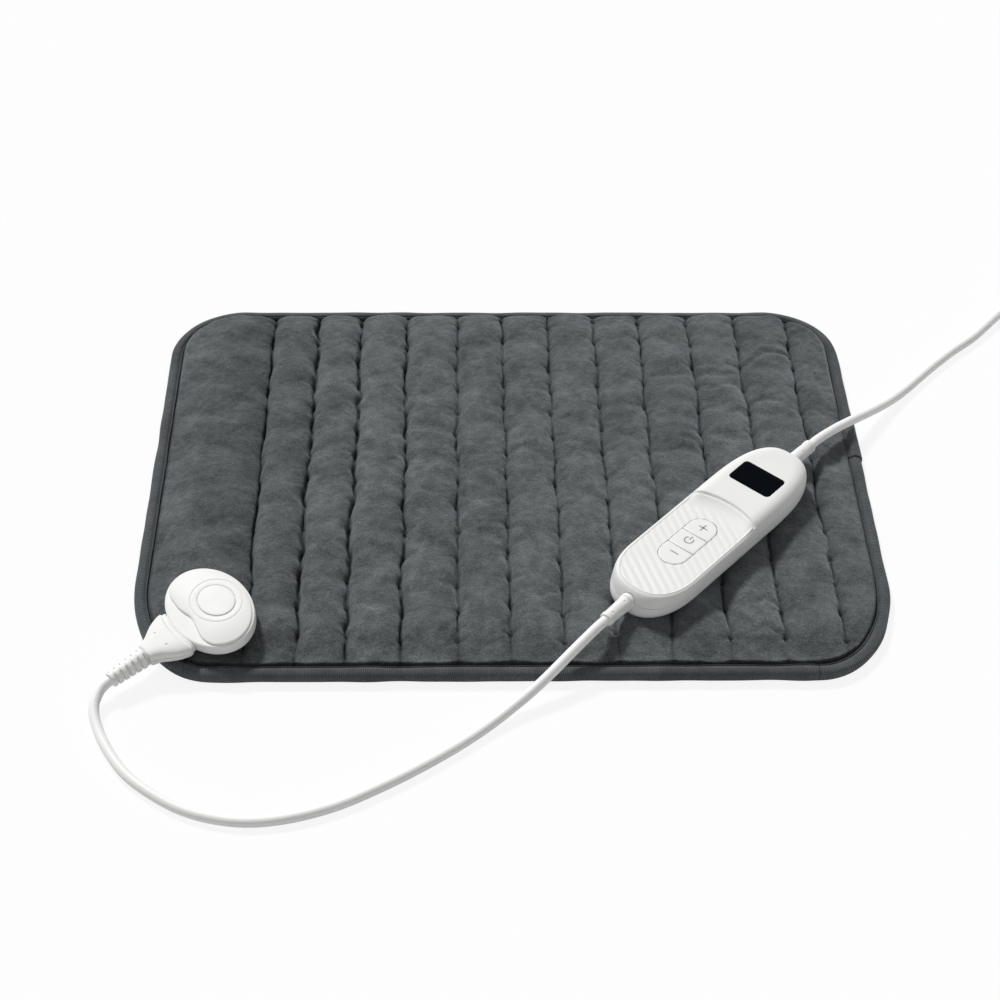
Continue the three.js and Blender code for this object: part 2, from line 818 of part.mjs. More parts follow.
const contactPlaces = Array.from(
  { length: contactCount },
  (_, k) => (k - (contactCount - 1) / 2) * contactPitch,
);
const contactHeight = (tongueFloor + tongueRoof) / 2;
const slotBack = plugMouthX - tongueLength - fit;

function socketPieces() {
  const baseTop = socketLift + housingFloor * Math.cos(socketTilt)
    - neckRadius * Math.sin(socketTilt) - fit;
  const baseFloor = clothThickness + feltThickness + fit;
  const screwTools = [-1, 1].map((side) => post(
    baseScrewX, side * baseScrewSpacing / 2, baseScrewRadius + fit,
    housingFloor - baseScrewLength, housingFloor + housingFloorThickness + overrun, 12,
  ));
  const intoPad = new THREE.Matrix4().compose(
    socketFrame.position,
    socketFrame.quaternion,
    new THREE.Vector3(1, 1, 1),
  );
  let base = toSolid(post(
    socketX, socketY, baseFlangeRadius, baseFloor, baseFloor + baseFlangeThickness, 32,
  ));
  base = joined(base, post(socketX, socketY, neckRadius, baseFloor, baseTop, 24));
  base = cut(
    base,
    post(socketX, socketY, wireHoleRadius, baseFloor - overrun, baseTop + overrun, 12),
    ...screwTools.map((tool) => tool.clone().applyMatrix4(intoPad)),
  );
  addPiece('socket_base', toGeometry(base), innerPlastic);

  let housing = toSolid(stacked(socketOutline, [
    [socketRim, housingFloor],
    [0, housingFloor + socketRim],
    [0, housingShelf - socketRim],
    [socketRim, housingShelf],
  ]));
  const coverSeat = housingShelf - coverThickness + coverDome;
  const coverRecess = toSolid(stacked(socketOutline, [
    [coverInset - fit, coverSeat],
    [coverInset - fit, socketTop + overrun],
  ])).intersect(toSolid(prism(crescentRegion(-fit), coverSeat - overrun, socketTop + overrun * 2)));
  const hollow = toSolid(stacked(socketOutline, [
    [coverInset + socketWall, housingFloor + housingFloorThickness],
    [coverInset + socketWall, socketTop + overrun],
  ])).intersect(toSolid(boxBetween(
    [-socketLong, -socketLong, 0],
    [slotBack - socketWall, socketLong, socketTop + overrun * 2],
  )));
  housing = housing.subtract(coverRecess).subtract(hollow);
  housing = cut(
    housing,
    boxBetween(
      [slotBack, -tongueHalfWidth - fit, tongueFloor - fit],
      [plugEndX, tongueHalfWidth + fit, tongueRoof + fit],
    ),
    post(0, 0, wireHoleRadius, housingFloor - overrun, coverSeat, 12),
    ...screwTools,
    ...contactPlaces.map((y) => boxBetween(
      [slotBack - socketWall - overrun, y - pinWidth / 2 - fit, contactHeight - pinHeight / 2 - fit],
      [slotBack + overrun, y + pinWidth / 2 + fit, contactHeight + pinHeight / 2 + fit],
    )),
  );
  addPiece('socket_housing', toGeometry(housing), whitePlastic, socketFrame);

  let cover = toSolid(stacked(socketOutline, [
    [coverInset, coverSeat + fit],
    [coverInset, socketTop - coverDome],
    [coverInset + coverDome, socketTop - coverDome / 3],
    [coverInset + coverDome * 4, socketTop],
  ])).intersect(toSolid(prism(crescentRegion(fit), 0, socketTop + overrun)));
  cover = cut(
    cover,
    stacked(ovalOutline, [
      [-fit, socketTop - discRecess],
      [-fit, socketTop + overrun],
    ]),
  );
  const groove = toSolid(stacked(ovalOutline, [
    [-ringInner - ringWidth, socketTop - ringGroove],
    [-ringInner - ringWidth, socketTop + overrun],
  ])).subtract(toSolid(stacked(ovalOutline, [
    [-ringInner, socketTop - ringGroove - overrun],
    [-ringInner, socketTop + overrun * 2],
  ])));
  addPiece('socket_cover', toGeometry(cover.subtract(groove)), whitePlastic, socketFrame);
  addPiece('socket_disc', stacked(ovalOutline, [
    [0, socketTop - discRecess + fit],
    [0, socketTop - discRecess + discThickness - fit],
    [fit, socketTop - discRecess + discThickness],
  ]), whitePlastic, socketFrame);

  contactPlaces.forEach((y, k) => {
    addPiece(`socket_contact_${k + 1}`, boxBetween(
      [slotBack - socketWall - pinTail, y - pinWidth / 2, contactHeight - pinHeight / 2],
      [slotBack + sleeveLength - overrun, y + pinWidth / 2, contactHeight + pinHeight / 2],
    ), copperAlloy, socketFrame);
  });
  [-1, 1].forEach((side, k) => {
    const headFloor = housingFloor + housingFloorThickness + fit;
    const screw = joined(
      toSolid(post(baseScrewX, side * baseScrewSpacing / 2, baseScrewHeadRadius,
        headFloor, headFloor + baseScrewHeadHeight, 12)),
      post(baseScrewX, side * baseScrewSpacing / 2, baseScrewRadius,
        headFloor - baseScrewLength, headFloor + fit, 12),
    );
    addPiece(`socket_screw_${k + 1}`, toGeometry(screw), steel, socketFrame);
  });
}

// Where the socket's outline on the plug's side crosses a given y.
function socketEdge(y) {
  const outline = socketOutline(0);
  for (let i = 0; i < outline.length; i += 1) {
    const [x0, y0] = outline[i];
    const [x1, y1] = outline[(i + 1) % outline.length];
    if (y0 <= y && y < y1) return x0 + (x1 - x0) * (y - y0) / (y1 - y0);
  }
  return 0;
}

// Outline of the plug's body: its mouth follows the socket's edge.
function plugOutline(inset) {
  const mouthSteps = 8;
  const sideSteps = 6;
  const points = [];
  const halfWidth = plugMouthHalfWidth - inset;
  const mouthX = (y) => socketEdge(y) + fit * 2 + inset;
  for (let i = 0; i <= mouthSteps; i += 1) {
    const y = halfWidth * (1 - 2 * i / mouthSteps);
    points.push([mouthX(y), y]);
  }
  const flankX = plugMouthX + plugRounding * 2;
  const endX = plugEndX - inset;
  const endHalf = plugEndHalfWidth - inset / 2;
  const flank = (i) => {
    const share = i / sideSteps;
    const waist = (1 + Math.cos(Math.PI * share ** 0.8)) / 2;
    return [flankX + (endX - flankX) * share, endHalf + (halfWidth - endHalf) * waist];
  };
  for (let i = 0; i <= sideSteps; i += 1) {
    const [x, y] = flank(i);
    points.push([x, -y]);
  }
  for (let i = sideSteps; i >= 0; i -= 1) points.push(flank(i));
  return points;
}

function ribbedRelief(start, length, radius, tipRadius, ribs) {
  const profile = [[start, 0]];
  const pitch = length / ribs;
  for (let k = 0; k < ribs; k += 1) {
    const outer = radius + (tipRadius - radius) * (k / (ribs - 1));
    const here = start + k * pitch;
    const rest = here + pitch * ribShare;
    profile.push([here, outer], [rest, outer]);
    if (k < ribs - 1) profile.push([rest, outer - ribDepth], [here + pitch, outer - ribDepth]);
    else profile.push([here + pitch, outer - ribDepth / 2]);
  }
  profile.push([start + length, 0]);
  return turned(profile, reliefSides);
}

const plugAxisHeight = plugHeight / 2;
const plugReliefStart = plugEndX + fit;
const plugReliefEnd = plugReliefStart + plugReliefLength;

function plugPieces() {
  const whole = () => toSolid(stacked(plugOutline, [
    [plugUnderRounding, 0],
    [plugUnderRounding / 4, plugUnderRounding / 2],
    [0, plugUnderRounding],
    [0, plugHeight - plugRounding],
    [plugRounding / 3, plugHeight - plugRounding / 3],
    [plugRounding, plugHeight],
  ]));
  const far = socketLong;
  const tongueSeat = tongueRootWiden + tongueHalfWidth + fit;
  const rootEnd = plugMouthX + plugWall + tongueRootLength;
  const inside = [
    boxBetween(
      [plugMouthX + plugWall, -tongueSeat, plugWall],
      [rootEnd + fit * 2, tongueSeat, plugHeight - plugWall],
    ),
    boxBetween(
      [rootEnd, -plugEndHalfWidth + plugWall, plugWall],
      [plugEndX - plugWall, plugEndHalfWidth - plugWall, plugHeight - plugWall],
    ),
    boxBetween(
      [0, -tongueHalfWidth - fit, tongueFloor - fit],
      [plugMouthX + plugWall + overrun, tongueHalfWidth + fit, tongueRoof + fit],
    ),
  ];
  const below = boxBetween([-far, -far, -far], [far, far, plugSplit - fit / 2]);
  const above = boxBetween([-far, -far, plugSplit + fit / 2], [far, far, far]);
  const lower = cut(whole().intersect(toSolid(below)), ...inside);
  const upper = cut(whole().intersect(toSolid(above)), ...inside);
  addPiece('plug_lower_shell', toGeometry(lower), whitePlastic, socketFrame);
  addPiece('plug_upper_shell', toGeometry(upper), whitePlastic, socketFrame);

  const sleeveHalfWidth = pinWidth / 2 + fit + sleeveWall;
  const sleeveHalfHeight = pinHeight / 2 + fit + sleeveWall;
  const tongueTip = plugMouthX - tongueLength;
  const root = boxBetween(
    [plugMouthX + plugWall + fit, -tongueHalfWidth - tongueRootWiden, plugWall + fit],
    [rootEnd, tongueHalfWidth + tongueRootWiden, plugHeight - plugWall - fit],
  );
  const tongue = cut(
    joined(toSolid(root), boxBetween(
      [tongueTip, -tongueHalfWidth, tongueFloor],
      [plugMouthX + plugWall + overrun, tongueHalfWidth, tongueRoof],
    )),
    ...contactPlaces.map((y) => boxBetween(
      [tongueTip - overrun, y - sleeveHalfWidth - fit, contactHeight - sleeveHalfHeight - fit],
      [rootEnd + overrun, y + sleeveHalfWidth + fit, contactHeight + sleeveHalfHeight + fit],
    )),
  );
  addPiece('plug_tongue', toGeometry(tongue), innerPlastic, socketFrame);
  contactPlaces.forEach((y, k) => {
    const start = tongueTip + fit;
    const sleeve = cut(
      toSolid(boxBetween(
        [start, y - sleeveHalfWidth, contactHeight - sleeveHalfHeight],
        [start + sleeveLength, y + sleeveHalfWidth, contactHeight + sleeveHalfHeight],
      )),
      boxBetween(
        [start - overrun, y - pinWidth / 2 - fit, contactHeight - pinHeight / 2 - fit],
        [start + sleeveLength + overrun, y + pinWidth / 2 + fit, contactHeight + pinHeight / 2 + fit],
      ),
    );
    addPiece(`plug_contact_${k + 1}`, toGeometry(sleeve), copperAlloy, socketFrame);
  });
  addPiece('plug_strain_relief', ribbedRelief(
    plugReliefStart, plugReliefLength, plugReliefRadius, plugReliefTipRadius, plugReliefRibs,
  ).translate(0, 0, plugAxisHeight), whitePlastic, socketFrame);
}

const controllerFrame = new THREE.Group();
controllerFrame.position.set(controllerX, controllerY, controllerLift);
controllerFrame.rotation.set(0, 0, controllerAngle);
model.add(controllerFrame);

// Outline of the controller at an inset, anticlockwise, from the display end.
function controllerOutline(inset, keyEndInset = inset) {
  const halfWidth = controllerWidth / 2 - inset;
  const quarter = (reach, power, endInset) => Array.from({ length: endSteps + 1 }, (_, i) => {
    const angle = (i / endSteps) * 90 * degree;
    return [
      controllerLength / 2 - reach + (reach - endInset) * Math.cos(angle) ** (2 / power),
      halfWidth * Math.sin(angle) ** (2 / power),
    ];
  });
  const display = quarter(displayEndReach, displayEndPower, inset);
  const key = quarter(keyEndReach, keyEndPower, keyEndInset);
  const upper = [...display, ...key.reverse().map(([x, y]) => [-x, y])];
  const lower = upper.slice(1, -1).reverse().map(([x, y]) => [x, -y]);
  return [...upper, ...lower];
}

// Levels of the case's section, each drawn in further at the key end, which leans back.
function leaning(levels) {
  return levels.map(([inset, z]) => [
    inset, z, inset + keyEndLean * Math.max(z - keyEndUpright, 0),
  ]);
}

const bottomSection = leaning([
  ...caseTuckShares.map(([inward, up]) => [caseTuck * inward, caseTuckHeight * up]),
  [0, partingHeight - fit / 2],
]);
const bottomHollow = leaning([
  [caseTuck + shellWall, shellWall],
  [shellWall + floorRounding, shellWall + floorRoundingHeight],
  [shellWall, partingHeight + overrun],
]);
const keySection = leaning([
  [0, partingHeight + fit / 2],
  ...faceEdgeShares.map(([inward, down]) => [
    faceRounding * inward, faceHeight - faceShoulder * down,
  ]),
]);
const keyHollow = leaning([
  [shellWall, partingHeight - overrun],
  [shellWall + fit, faceHeight - faceShoulder - overrun],
  [shellWall + roofRounding, faceHeight - shellWall],
]);
const displaySection = [
  [0, partingHeight + fit / 2],
  ...domeEdgeShares.map(([inward, down]) => [domeInset * inward, domeHeight - domeRise * down]),
];
const displayHollow = [
  [shellWall, partingHeight - overrun],
  ...domeHollowShares.map(([inward, down]) => [
    shellWall + domeInset * inward,
    domeHeight - shellWall - (domeRise - shellWall) * down,
  ]),
];

// The part of the plan on the display's side of the curved ridge.
function displayRegion(shift) {
  const steps = 10;
  const points = [];
  for (let i = 0; i <= steps; i += 1) {
    const share = 1 - 2 * i / steps;
    points.push([
      ridgeX + shift - ridgeSweep * share ** 2,
      share * (controllerWidth / 2 + overrun * 2),
    ]);
  }
  points.push([controllerLength, -controllerWidth], [controllerLength, controllerWidth]);
  return points;
}

function pillOutline(grow) {
  const radius = keysWidth / 2 + grow;
  const straight = (keysLength - keysWidth) / 2;
  const steps = 10;
  return [1, -1].flatMap((side) => Array.from({ length: steps + 1 }, (_, i) => {
    const angle = (i / steps - 0.5) * Math.PI;
    return [keysX + side * (straight + radius * Math.cos(angle)), side * radius * Math.sin(angle)];
  }));
}

// The display window's outline, with rounded corners.
function windowOutline(grow) {
  const steps = 2;
  const radius = windowCorner + Math.max(grow, 0);
  const corners = [[1, 1], [-1, 1], [-1, -1], [1, -1]];
  return corners.flatMap(([sideX, sideY], k) => Array.from({ length: steps + 1 }, (_, i) => {
    const angle = (k + i / steps) * 90 * degree;
    return [
      displayX + sideX * (displayLength / 2 + grow - radius) + radius * Math.cos(angle),
      sideY * (displayWidth / 2 + grow - radius) + radius * Math.sin(angle),
    ];
  }));
}

const boardTop = boardHeight + boardThickness;
const screwPlaces = [
  [displayScrewX, screwY], [displayScrewX, -screwY], [keyScrewX, screwY], [keyScrewX, -screwY],
];

function bossPosts(bottom, keyEndTop, displayEndTop = keyEndTop) {
  return screwPlaces.map(([x, y]) => post(
    x, y, bossRadius, bottom, x > 0 ? displayEndTop : keyEndTop, 14,
  ));
}

// Bosses round the bushes, kept inside the case's own outer form.
function withBushBosses(body, outer) {
  const bosses = [[leadBushSeat, Math.PI], [mainsBushSeat, 0]].map(([seat, turn]) => rod(
    0, bushHeight, bushBossRadius, seat - shellWall, seat + overrun,
  ).rotateZ(turn));
  return bosses.reduce((sum, boss) => sum.add(toSolid(boss).intersect(outer)), body);
}

// Pocket for each bush's root and the hole behind it.
function bushHoles() {
  return [[leadBushSeat, Math.PI], [mainsBushSeat, 0]].flatMap(([seat, turn]) => [
    rod(0, bushHeight, bushNeckRadius + fit, seat - shellWall * 2, seat + overrun),
    rod(0, bushHeight, bushRadius + fit, seat, controllerLength / 2 + overrun),
  ].map((tool) => tool.rotateZ(turn)));
}

function controllerShells() {
  const bottomOuter = toSolid(stacked(controllerOutline, bottomSection));
  let bottom = bottomOuter.subtract(toSolid(stacked(controllerOutline, bottomHollow)));
  bottom = withBushBosses(bottom, bottomOuter);
  bottom = joined(bottom, ...bossPosts(shellWall / 2, boardHeight - fit));
  bottom = cut(
    bottom,
    ...bushHoles(),
    ...screwPlaces.flatMap(([x, y]) => [
      post(x, y, screwRadius + fit, -overrun, boardHeight + overrun, 12),
      post(x, y, screwHeadRadius + fit, -overrun, screwHeadHeight + fit * 2, 12),
    ]),
  );
  addPiece('controller_bottom_shell', toGeometry(bottom), whitePlastic, controllerFrame);

  const displayBody = toSolid(stacked(controllerOutline, displaySection))
    .intersect(toSolid(prism(displayRegion(0), 0, domeHeight + overrun)));
  const topOuter = toSolid(stacked(controllerOutline, keySection)).add(displayBody);
  let top = topOuter.subtract(toSolid(stacked(controllerOutline, keyHollow)));
  top = top.subtract(toSolid(stacked(controllerOutline, displayHollow))
    .intersect(toSolid(prism(displayRegion(shellWall), 0, domeHeight))));
  top = withBushBosses(top, topOuter);
  top = joined(top, ...bossPosts(
    boardTop + fit, faceHeight - shellWall + overrun, domeHeight - shellWall + overrun,
  ));

  const ribSpan = controllerLength;
  const ribTool = new THREE.Shape([
    new THREE.Vector2(-ribPitch / 2, -overrun),
    new THREE.Vector2(ribPitch / 2, -overrun),
    new THREE.Vector2(ribPitch / 2, 0),
    new THREE.Vector2(0, ribHeight),
    new THREE.Vector2(-ribPitch / 2, 0),
  ]);
  const faceRegion = toSolid(stacked(controllerOutline, [
    [ribMargin, faceHeight - overrun],
    [ribMargin, faceHeight + overrun],
  ])).subtract(toSolid(prism(displayRegion(-ribMargin / 2), 0, domeHeight)));
  const ribCount = Math.floor(controllerLength / 2 / ribPitch / Math.sin(ribAngle));
  let ribs = null;
  for (let k = -ribCount; k <= ribCount; k += 1) {
    const rib = new THREE.ExtrudeGeometry(ribTool, { depth: ribSpan, bevelEnabled: false })
      .translate(k * ribPitch, 0, -ribSpan / 2)
      .rotateX(Math.PI / 2)
      .rotateZ(ribAngle - 90 * degree)
      .translate(keysX, 0, faceHeight);
    const solid = toSolid(rib);
    ribs = ribs ? ribs.add(solid) : solid;
  }
  ribs = ribs.intersect(faceRegion);
  ribs = ribs.subtract(toSolid(prism(pillOutline(keyLip), 0, domeHeight)));
  top = top.add(ribs);

  const windowSeat = domeHeight - windowThickness - fit;
  top = cut(
    top,
    prism(pillOutline(fit), partingHeight, faceHeight + overrun),
    prism(windowOutline(fit), windowSeat, domeHeight + overrun),
    prism(windowOutline(-windowLedge), partingHeight, domeHeight),
    ...bushHoles(),
    ...screwPlaces.map(([x, y]) => post(
      x, y, screwRadius + fit, partingHeight, screwTop + fit, 12,
    )),
  );
  addPiece('controller_top_shell', toGeometry(top), whitePlastic, controllerFrame);
  addPiece(
    'display_window',
    prism(windowOutline(0), windowSeat + fit, windowSeat + fit + windowThickness),
    displayGlass,
    controllerFrame,
  );
}

function controllerInside() {
  const boardOutline = [
    [-boardLength / 2, -boardWidth / 2 + boardKeyCorner],
    [-boardLength / 2 + boardKeyCorner, -boardWidth / 2],
    [boardLength / 2 - boardDisplayCorner, -boardWidth / 2],
    [boardLength / 2, -boardWidth / 2 + boardDisplayCorner],
    [boardLength / 2, boardWidth / 2 - boardDisplayCorner],
    [boardLength / 2 - boardDisplayCorner, boardWidth / 2],
    [-boardLength / 2 + boardKeyCorner, boardWidth / 2],
    [-boardLength / 2, boardWidth / 2 - boardKeyCorner],
  ];
  const board = cut(
    toSolid(prism(boardOutline, boardHeight, boardTop)),
    ...screwPlaces.map(([x, y]) => post(
      x, y, screwRadius + fit, boardHeight - overrun, boardTop + overrun, 12,
    )),
  );
  addPiece('circuit_board', toGeometry(board), boardGreen, controllerFrame);

  const switchFloor = boardTop + fit;
  const keyNames = ['minus', 'power', 'plus'];
  keyNames.forEach((name, k) => {
    const x = keysX + (k - 1) * keyPitch;
    const body = joined(
      toSolid(boxBetween(
        [x - switchSize / 2, -switchSize / 2, switchFloor],
        [x + switchSize / 2, switchSize / 2, switchFloor + switchHeight],
      )),
      post(x, 0, plungerRadius, switchFloor, switchFloor + switchHeight + plungerHeight, 12),
    );
    addPiece(`switch_${name}`, toGeometry(body), blackPlastic, controllerFrame);
  });

  const keyTop = faceHeight + keyProud;
  const keyUnder = keyTop - keyThickness;
  const lipBottom = keyUnder - keyTravel - keyLipThickness * 2;
  const lipTop = faceHeight - shellWall - fit;
  keyNames.forEach((name, k) => {
    const low = k === 0 ? keysX - keysLength : keysX + (k - 1.5) * keyPitch + fit / 2;
    const high = k === 2 ? keysX + keysLength : keysX + (k - 0.5) * keyPitch - fit / 2;
    const sector = boxBetween([low, -keysWidth, 0], [high, keysWidth, domeHeight]);
    const x = keysX + (k - 1) * keyPitch;
    const rounding = fit;
    let key = toSolid(stacked(pillOutlineInset, [
      [0, lipBottom],
      [0, keyTop - rounding],
      [rounding, keyTop],
    ]));
    key = joined(key, stacked(pillOutlineInset, [
      [-keyLip, lipBottom],
      [-keyLip, lipTop],
    ]));
    key = key.intersect(toSolid(sector));
    key = cut(key, boxBetween(
      [x - keyWell / 2, -keyWell / 2, lipBottom - overrun],
      [x + keyWell / 2, keyWell / 2, keyUnder],
    ));
    addPiece(`key_${name}`, toGeometry(key), whiteKey, controllerFrame);
  });

  addPiece('display_module', boxBetween(
    [displayX - displayLength / 2 + windowLedge + fit, -displayWidth / 2 + windowLedge + fit, switchFloor],
    [displayX + displayLength / 2 - windowLedge - fit, displayWidth / 2 - windowLedge - fit,
      switchFloor + moduleHeight],
  ), blackPlastic, controllerFrame);

  const hang = boardHeight - fit;
  addPiece('power_relay', boxBetween(
    [relayX - relayLength / 2, -relayWidth / 2, hang - relayHeight],
    [relayX + relayLength / 2, relayWidth / 2, hang],
  ), relayBlue, controllerFrame);
  addPiece('capacitor', boxBetween(
    [capacitorX - capacitorLength / 2, partOffsetY - capacitorWidth / 2, hang - capacitorHeight],
    [capacitorX + capacitorLength / 2, partOffsetY + capacitorWidth / 2, hang],
  ), wireCover, controllerFrame);
  addPiece('fuse', rod(
    -partOffsetY, hang - fuseRadius, fuseRadius, fuseX - fuseLength / 2, fuseX + fuseLength / 2, 12,
  ), fuseGlass, controllerFrame);

  screwPlaces.forEach(([x, y], k) => {
    const headTop = fit + screwHeadHeight;
    const screw = joined(
      toSolid(post(x, y, screwHeadRadius, fit, headTop, 12)),
      post(x, y, screwRadius, headTop - fit, screwTop, 12),
    );
    addPiece(`controller_screw_${k + 1}`, toGeometry(screw), steel, controllerFrame);
  });
}

function pillOutlineInset(inset) {
  return pillOutline(-inset);
}

const leadBushEnd = leadBushSeat + fit + leadBushLength;
const mainsBushEnd = mainsBushSeat + fit + mainsBushLength;

// A bush with its flange inside the case, its neck in the wall and its stepped sleeve outside.
function bush(seat, length) {
  const flangeEnd = seat - shellWall - fit;
  const start = seat + fit;
  const end = start + length;
  return turned([
    [flangeEnd - bushFlangeThickness, 0],
    [flangeEnd - bushFlangeThickness, bushFlangeRadius],
    [flangeEnd, bushFlangeRadius],
    [flangeEnd, bushNeckRadius],
    [start, bushNeckRadius],
    [start, bushRadius - bushStep],
    [start + bushStep, bushRadius],
    [start + bushCollar, bushRadius],
    [start + bushCollar + bushStep, bushRadius - bushStep],
    [end - bushCollar - bushStep, bushTipRadius],
    [end - bushCollar, bushTipRadius + bushStep / 2],
    [end - bushStep, bushTipRadius + bushStep / 2],
    [end, bushTipRadius - bushStep / 2],
    [end, 0],
  ], bushSides).translate(0, 0, bushHeight);
}

// A cradle under the cord inside the case.
function cordCradle(seat) {
  const end = seat - shellWall - fit - bushFlangeThickness - clampFromFlange;
  return toGeometry(cut(
    toSolid(boxBetween(
      [end - clampLength, -clampWidth / 2, shellWall + fit],
      [end, clampWidth / 2, boardHeight - fit],
    )),
    rod(0, bushHeight, cordDiameter / 2, end - clampLength - overrun, end + overrun),
  ));
}

function bushes() {
  const ends = [
    ['pad', leadBushSeat, leadBushLength, Math.PI],
    ['mains', mainsBushSeat, mainsBushLength, 0],
  ];
  for (const [name, seat, length, turn] of ends) {
    addPiece(`bush_${name}_lead`, bush(seat, length).rotateZ(turn), whitePlastic, controllerFrame);
    addPiece(`cord_cradle_${name}`, cordCradle(seat).rotateZ(turn), innerPlastic, controllerFrame);
  }
}

// A cord's tube: an extruded ring section along a smooth route.
function cordTube(points) {
  const route = new THREE.CatmullRomCurve3(points, false, 'centripetal');
  const section = new THREE.Shape(Array.from({ length: cordSides }, (_, k) => {
    const angle = (k + 0.5) * 2 * Math.PI / cordSides;
    return new THREE.Vector2(
      cordDiameter / 2 * Math.cos(angle), cordDiameter / 2 * Math.sin(angle),
    );
  }));
  return cleaned(new THREE.ExtrudeGeometry(section, {
    steps: Math.round(route.getLength() / cordStepLength),
    extrudePath: route,
  }));
}

function fromSocket(along, height) {
  socketFrame.updateMatrixWorld(true);
  return new THREE.Vector3(along, 0, height).applyMatrix4(socketFrame.matrixWorld);
}

function fromController(along) {
  controllerFrame.updateMatrixWorld(true);
  return new THREE.Vector3(along, 0, bushHeight).applyMatrix4(controllerFrame.matrixWorld);
}

// Routes between the ends, chosen by hand: over the table and the pad's edges.
const padLeadRoute = [
  [-208.3, -159.0, 7.2], [-210.4, -165.2, 5.8], [-210.1, -172.6, 4.4], [-206.8, -182.4, 3.2],
  [-200.9, -194.3, 2.8], [-190.0, -210.0, 2.8], [-176.0, -222.2, 2.8], [-161.0, -231.5, 2.8],
  [-144.4, -237.0, 2.8], [-128.2, -238.8, 2.8], [-110.4, -236.6, 2.8], [-88.6, -229.6, 2.8],
  [-66.8, -218.0, 2.8], [-47.6, -205.8, 2.8], [-28.6, -192.0, 2.8], [-13.2, -179.3, 3.4],
  [-0.8, -168.8, 5.6], [9.6, -160.2, 8.8], [19.0, -151.8, 12.6], [28.4, -142.6, 16.2],
];
const mainsLeadRoute = [
  [184.4, 26.6, 17.4], [196.6, 38.8, 13.6], [210.4, 52.4, 8.8], [224.0, 66.0, 4.9],
  [235.6, 78.4, 3.1], [246.2, 90.2, 2.8], [258.0, 102.8, 2.8], [271.0, 115.6, 2.8],
  [286.0, 129.0, 2.8],
];

// Coil centreline, wound clockwise: in along the lower layer, up, and out along the upper one.
const coilPitch = cordDiameter + coilTurnGap;
const coilLowZ = tieThickness + fit + cordDiameter / 2;
const coilTurns = 2 * coilTurnsPerLayer + coilEndTurns;
const coilOuterRadius = coilMeanDiameter / 2 + coilTurnsPerLayer * coilPitch / 2;

function coilPoint(turn) {
  const inner = coilOuterRadius - coilPitch * coilTurnsPerLayer;
  const past = turn - coilTurnsPerLayer;
  let radius = coilOuterRadius - coilPitch * turn;
  if (past > coilClimbTurns / 2) radius = inner + coilPitch * (past - coilClimbTurns);
  const climb = Math.min(Math.max(past / coilClimbTurns, 0), 1);
  const z = coilLowZ + coilPitch * (1 - Math.cos(Math.PI * climb)) / 2;
  const angle = coilEntryAngle + Math.PI / 2 - turn * 2 * Math.PI;
  return new THREE.Vector3(
    coilX + radius * Math.cos(angle), coilY + radius * Math.sin(angle), z,
  );
}

function heading(angle) {
  return new THREE.Vector3(Math.cos(angle), Math.sin(angle), 0);
}

const coilExitAngle = coilEntryAngle - coilTurns * 2 * Math.PI;
const coilStart = coilPoint(0).addScaledVector(heading(coilEntryAngle), -cordDiameter * 1.5);
const mainsPlugZ = mainsPlugHeight / 2 + fit;
const coilExit = coilPoint(coilTurns);
const coilEnd = coilExit.clone().addScaledVector(heading(coilExitAngle), coilTail);
coilEnd.z = mainsPlugZ;

function coilCentreline() {
  const points = [coilStart, coilPoint(0).addScaledVector(heading(coilEntryAngle), -cordDiameter / 2)];
  const steps = Math.round(coilTurns * coilStepsPerTurn);
  for (let i = 0; i <= steps; i += 1) points.push(coilPoint(i / steps * coilTurns));
  const along = (distance, z) => {
    const place = coilExit.clone().addScaledVector(heading(coilExitAngle), distance);
    place.z = z;
    return place;
  };
  points.push(along(coilTailLevel / 2, coilExit.z), along(coilTailLevel, coilExit.z));
  points.push(along((coilTailLevel + coilTail - cordDiameter) / 2, (coilExit.z + mainsPlugZ) / 2));
  points.push(along(coilTail - cordDiameter, mainsPlugZ), coilEnd);
  return points;
}

// Least gap between stretches of the coil that are not neighbours along it.
function leastCoilGap(points) {
  const route = new THREE.CatmullRomCurve3(points);
  const samples = route.getSpacedPoints(Math.round(route.getLength() / (cordDiameter / 3)));
  const apart = 12;
  let least = Infinity;
  for (let i = 0; i < samples.length; i += 1) {
    for (let j = i + apart; j < samples.length; j += 1) {
      least = Math.min(least, samples[i].distanceTo(samples[j]));
    }
  }
  return least - cordDiameter;
}

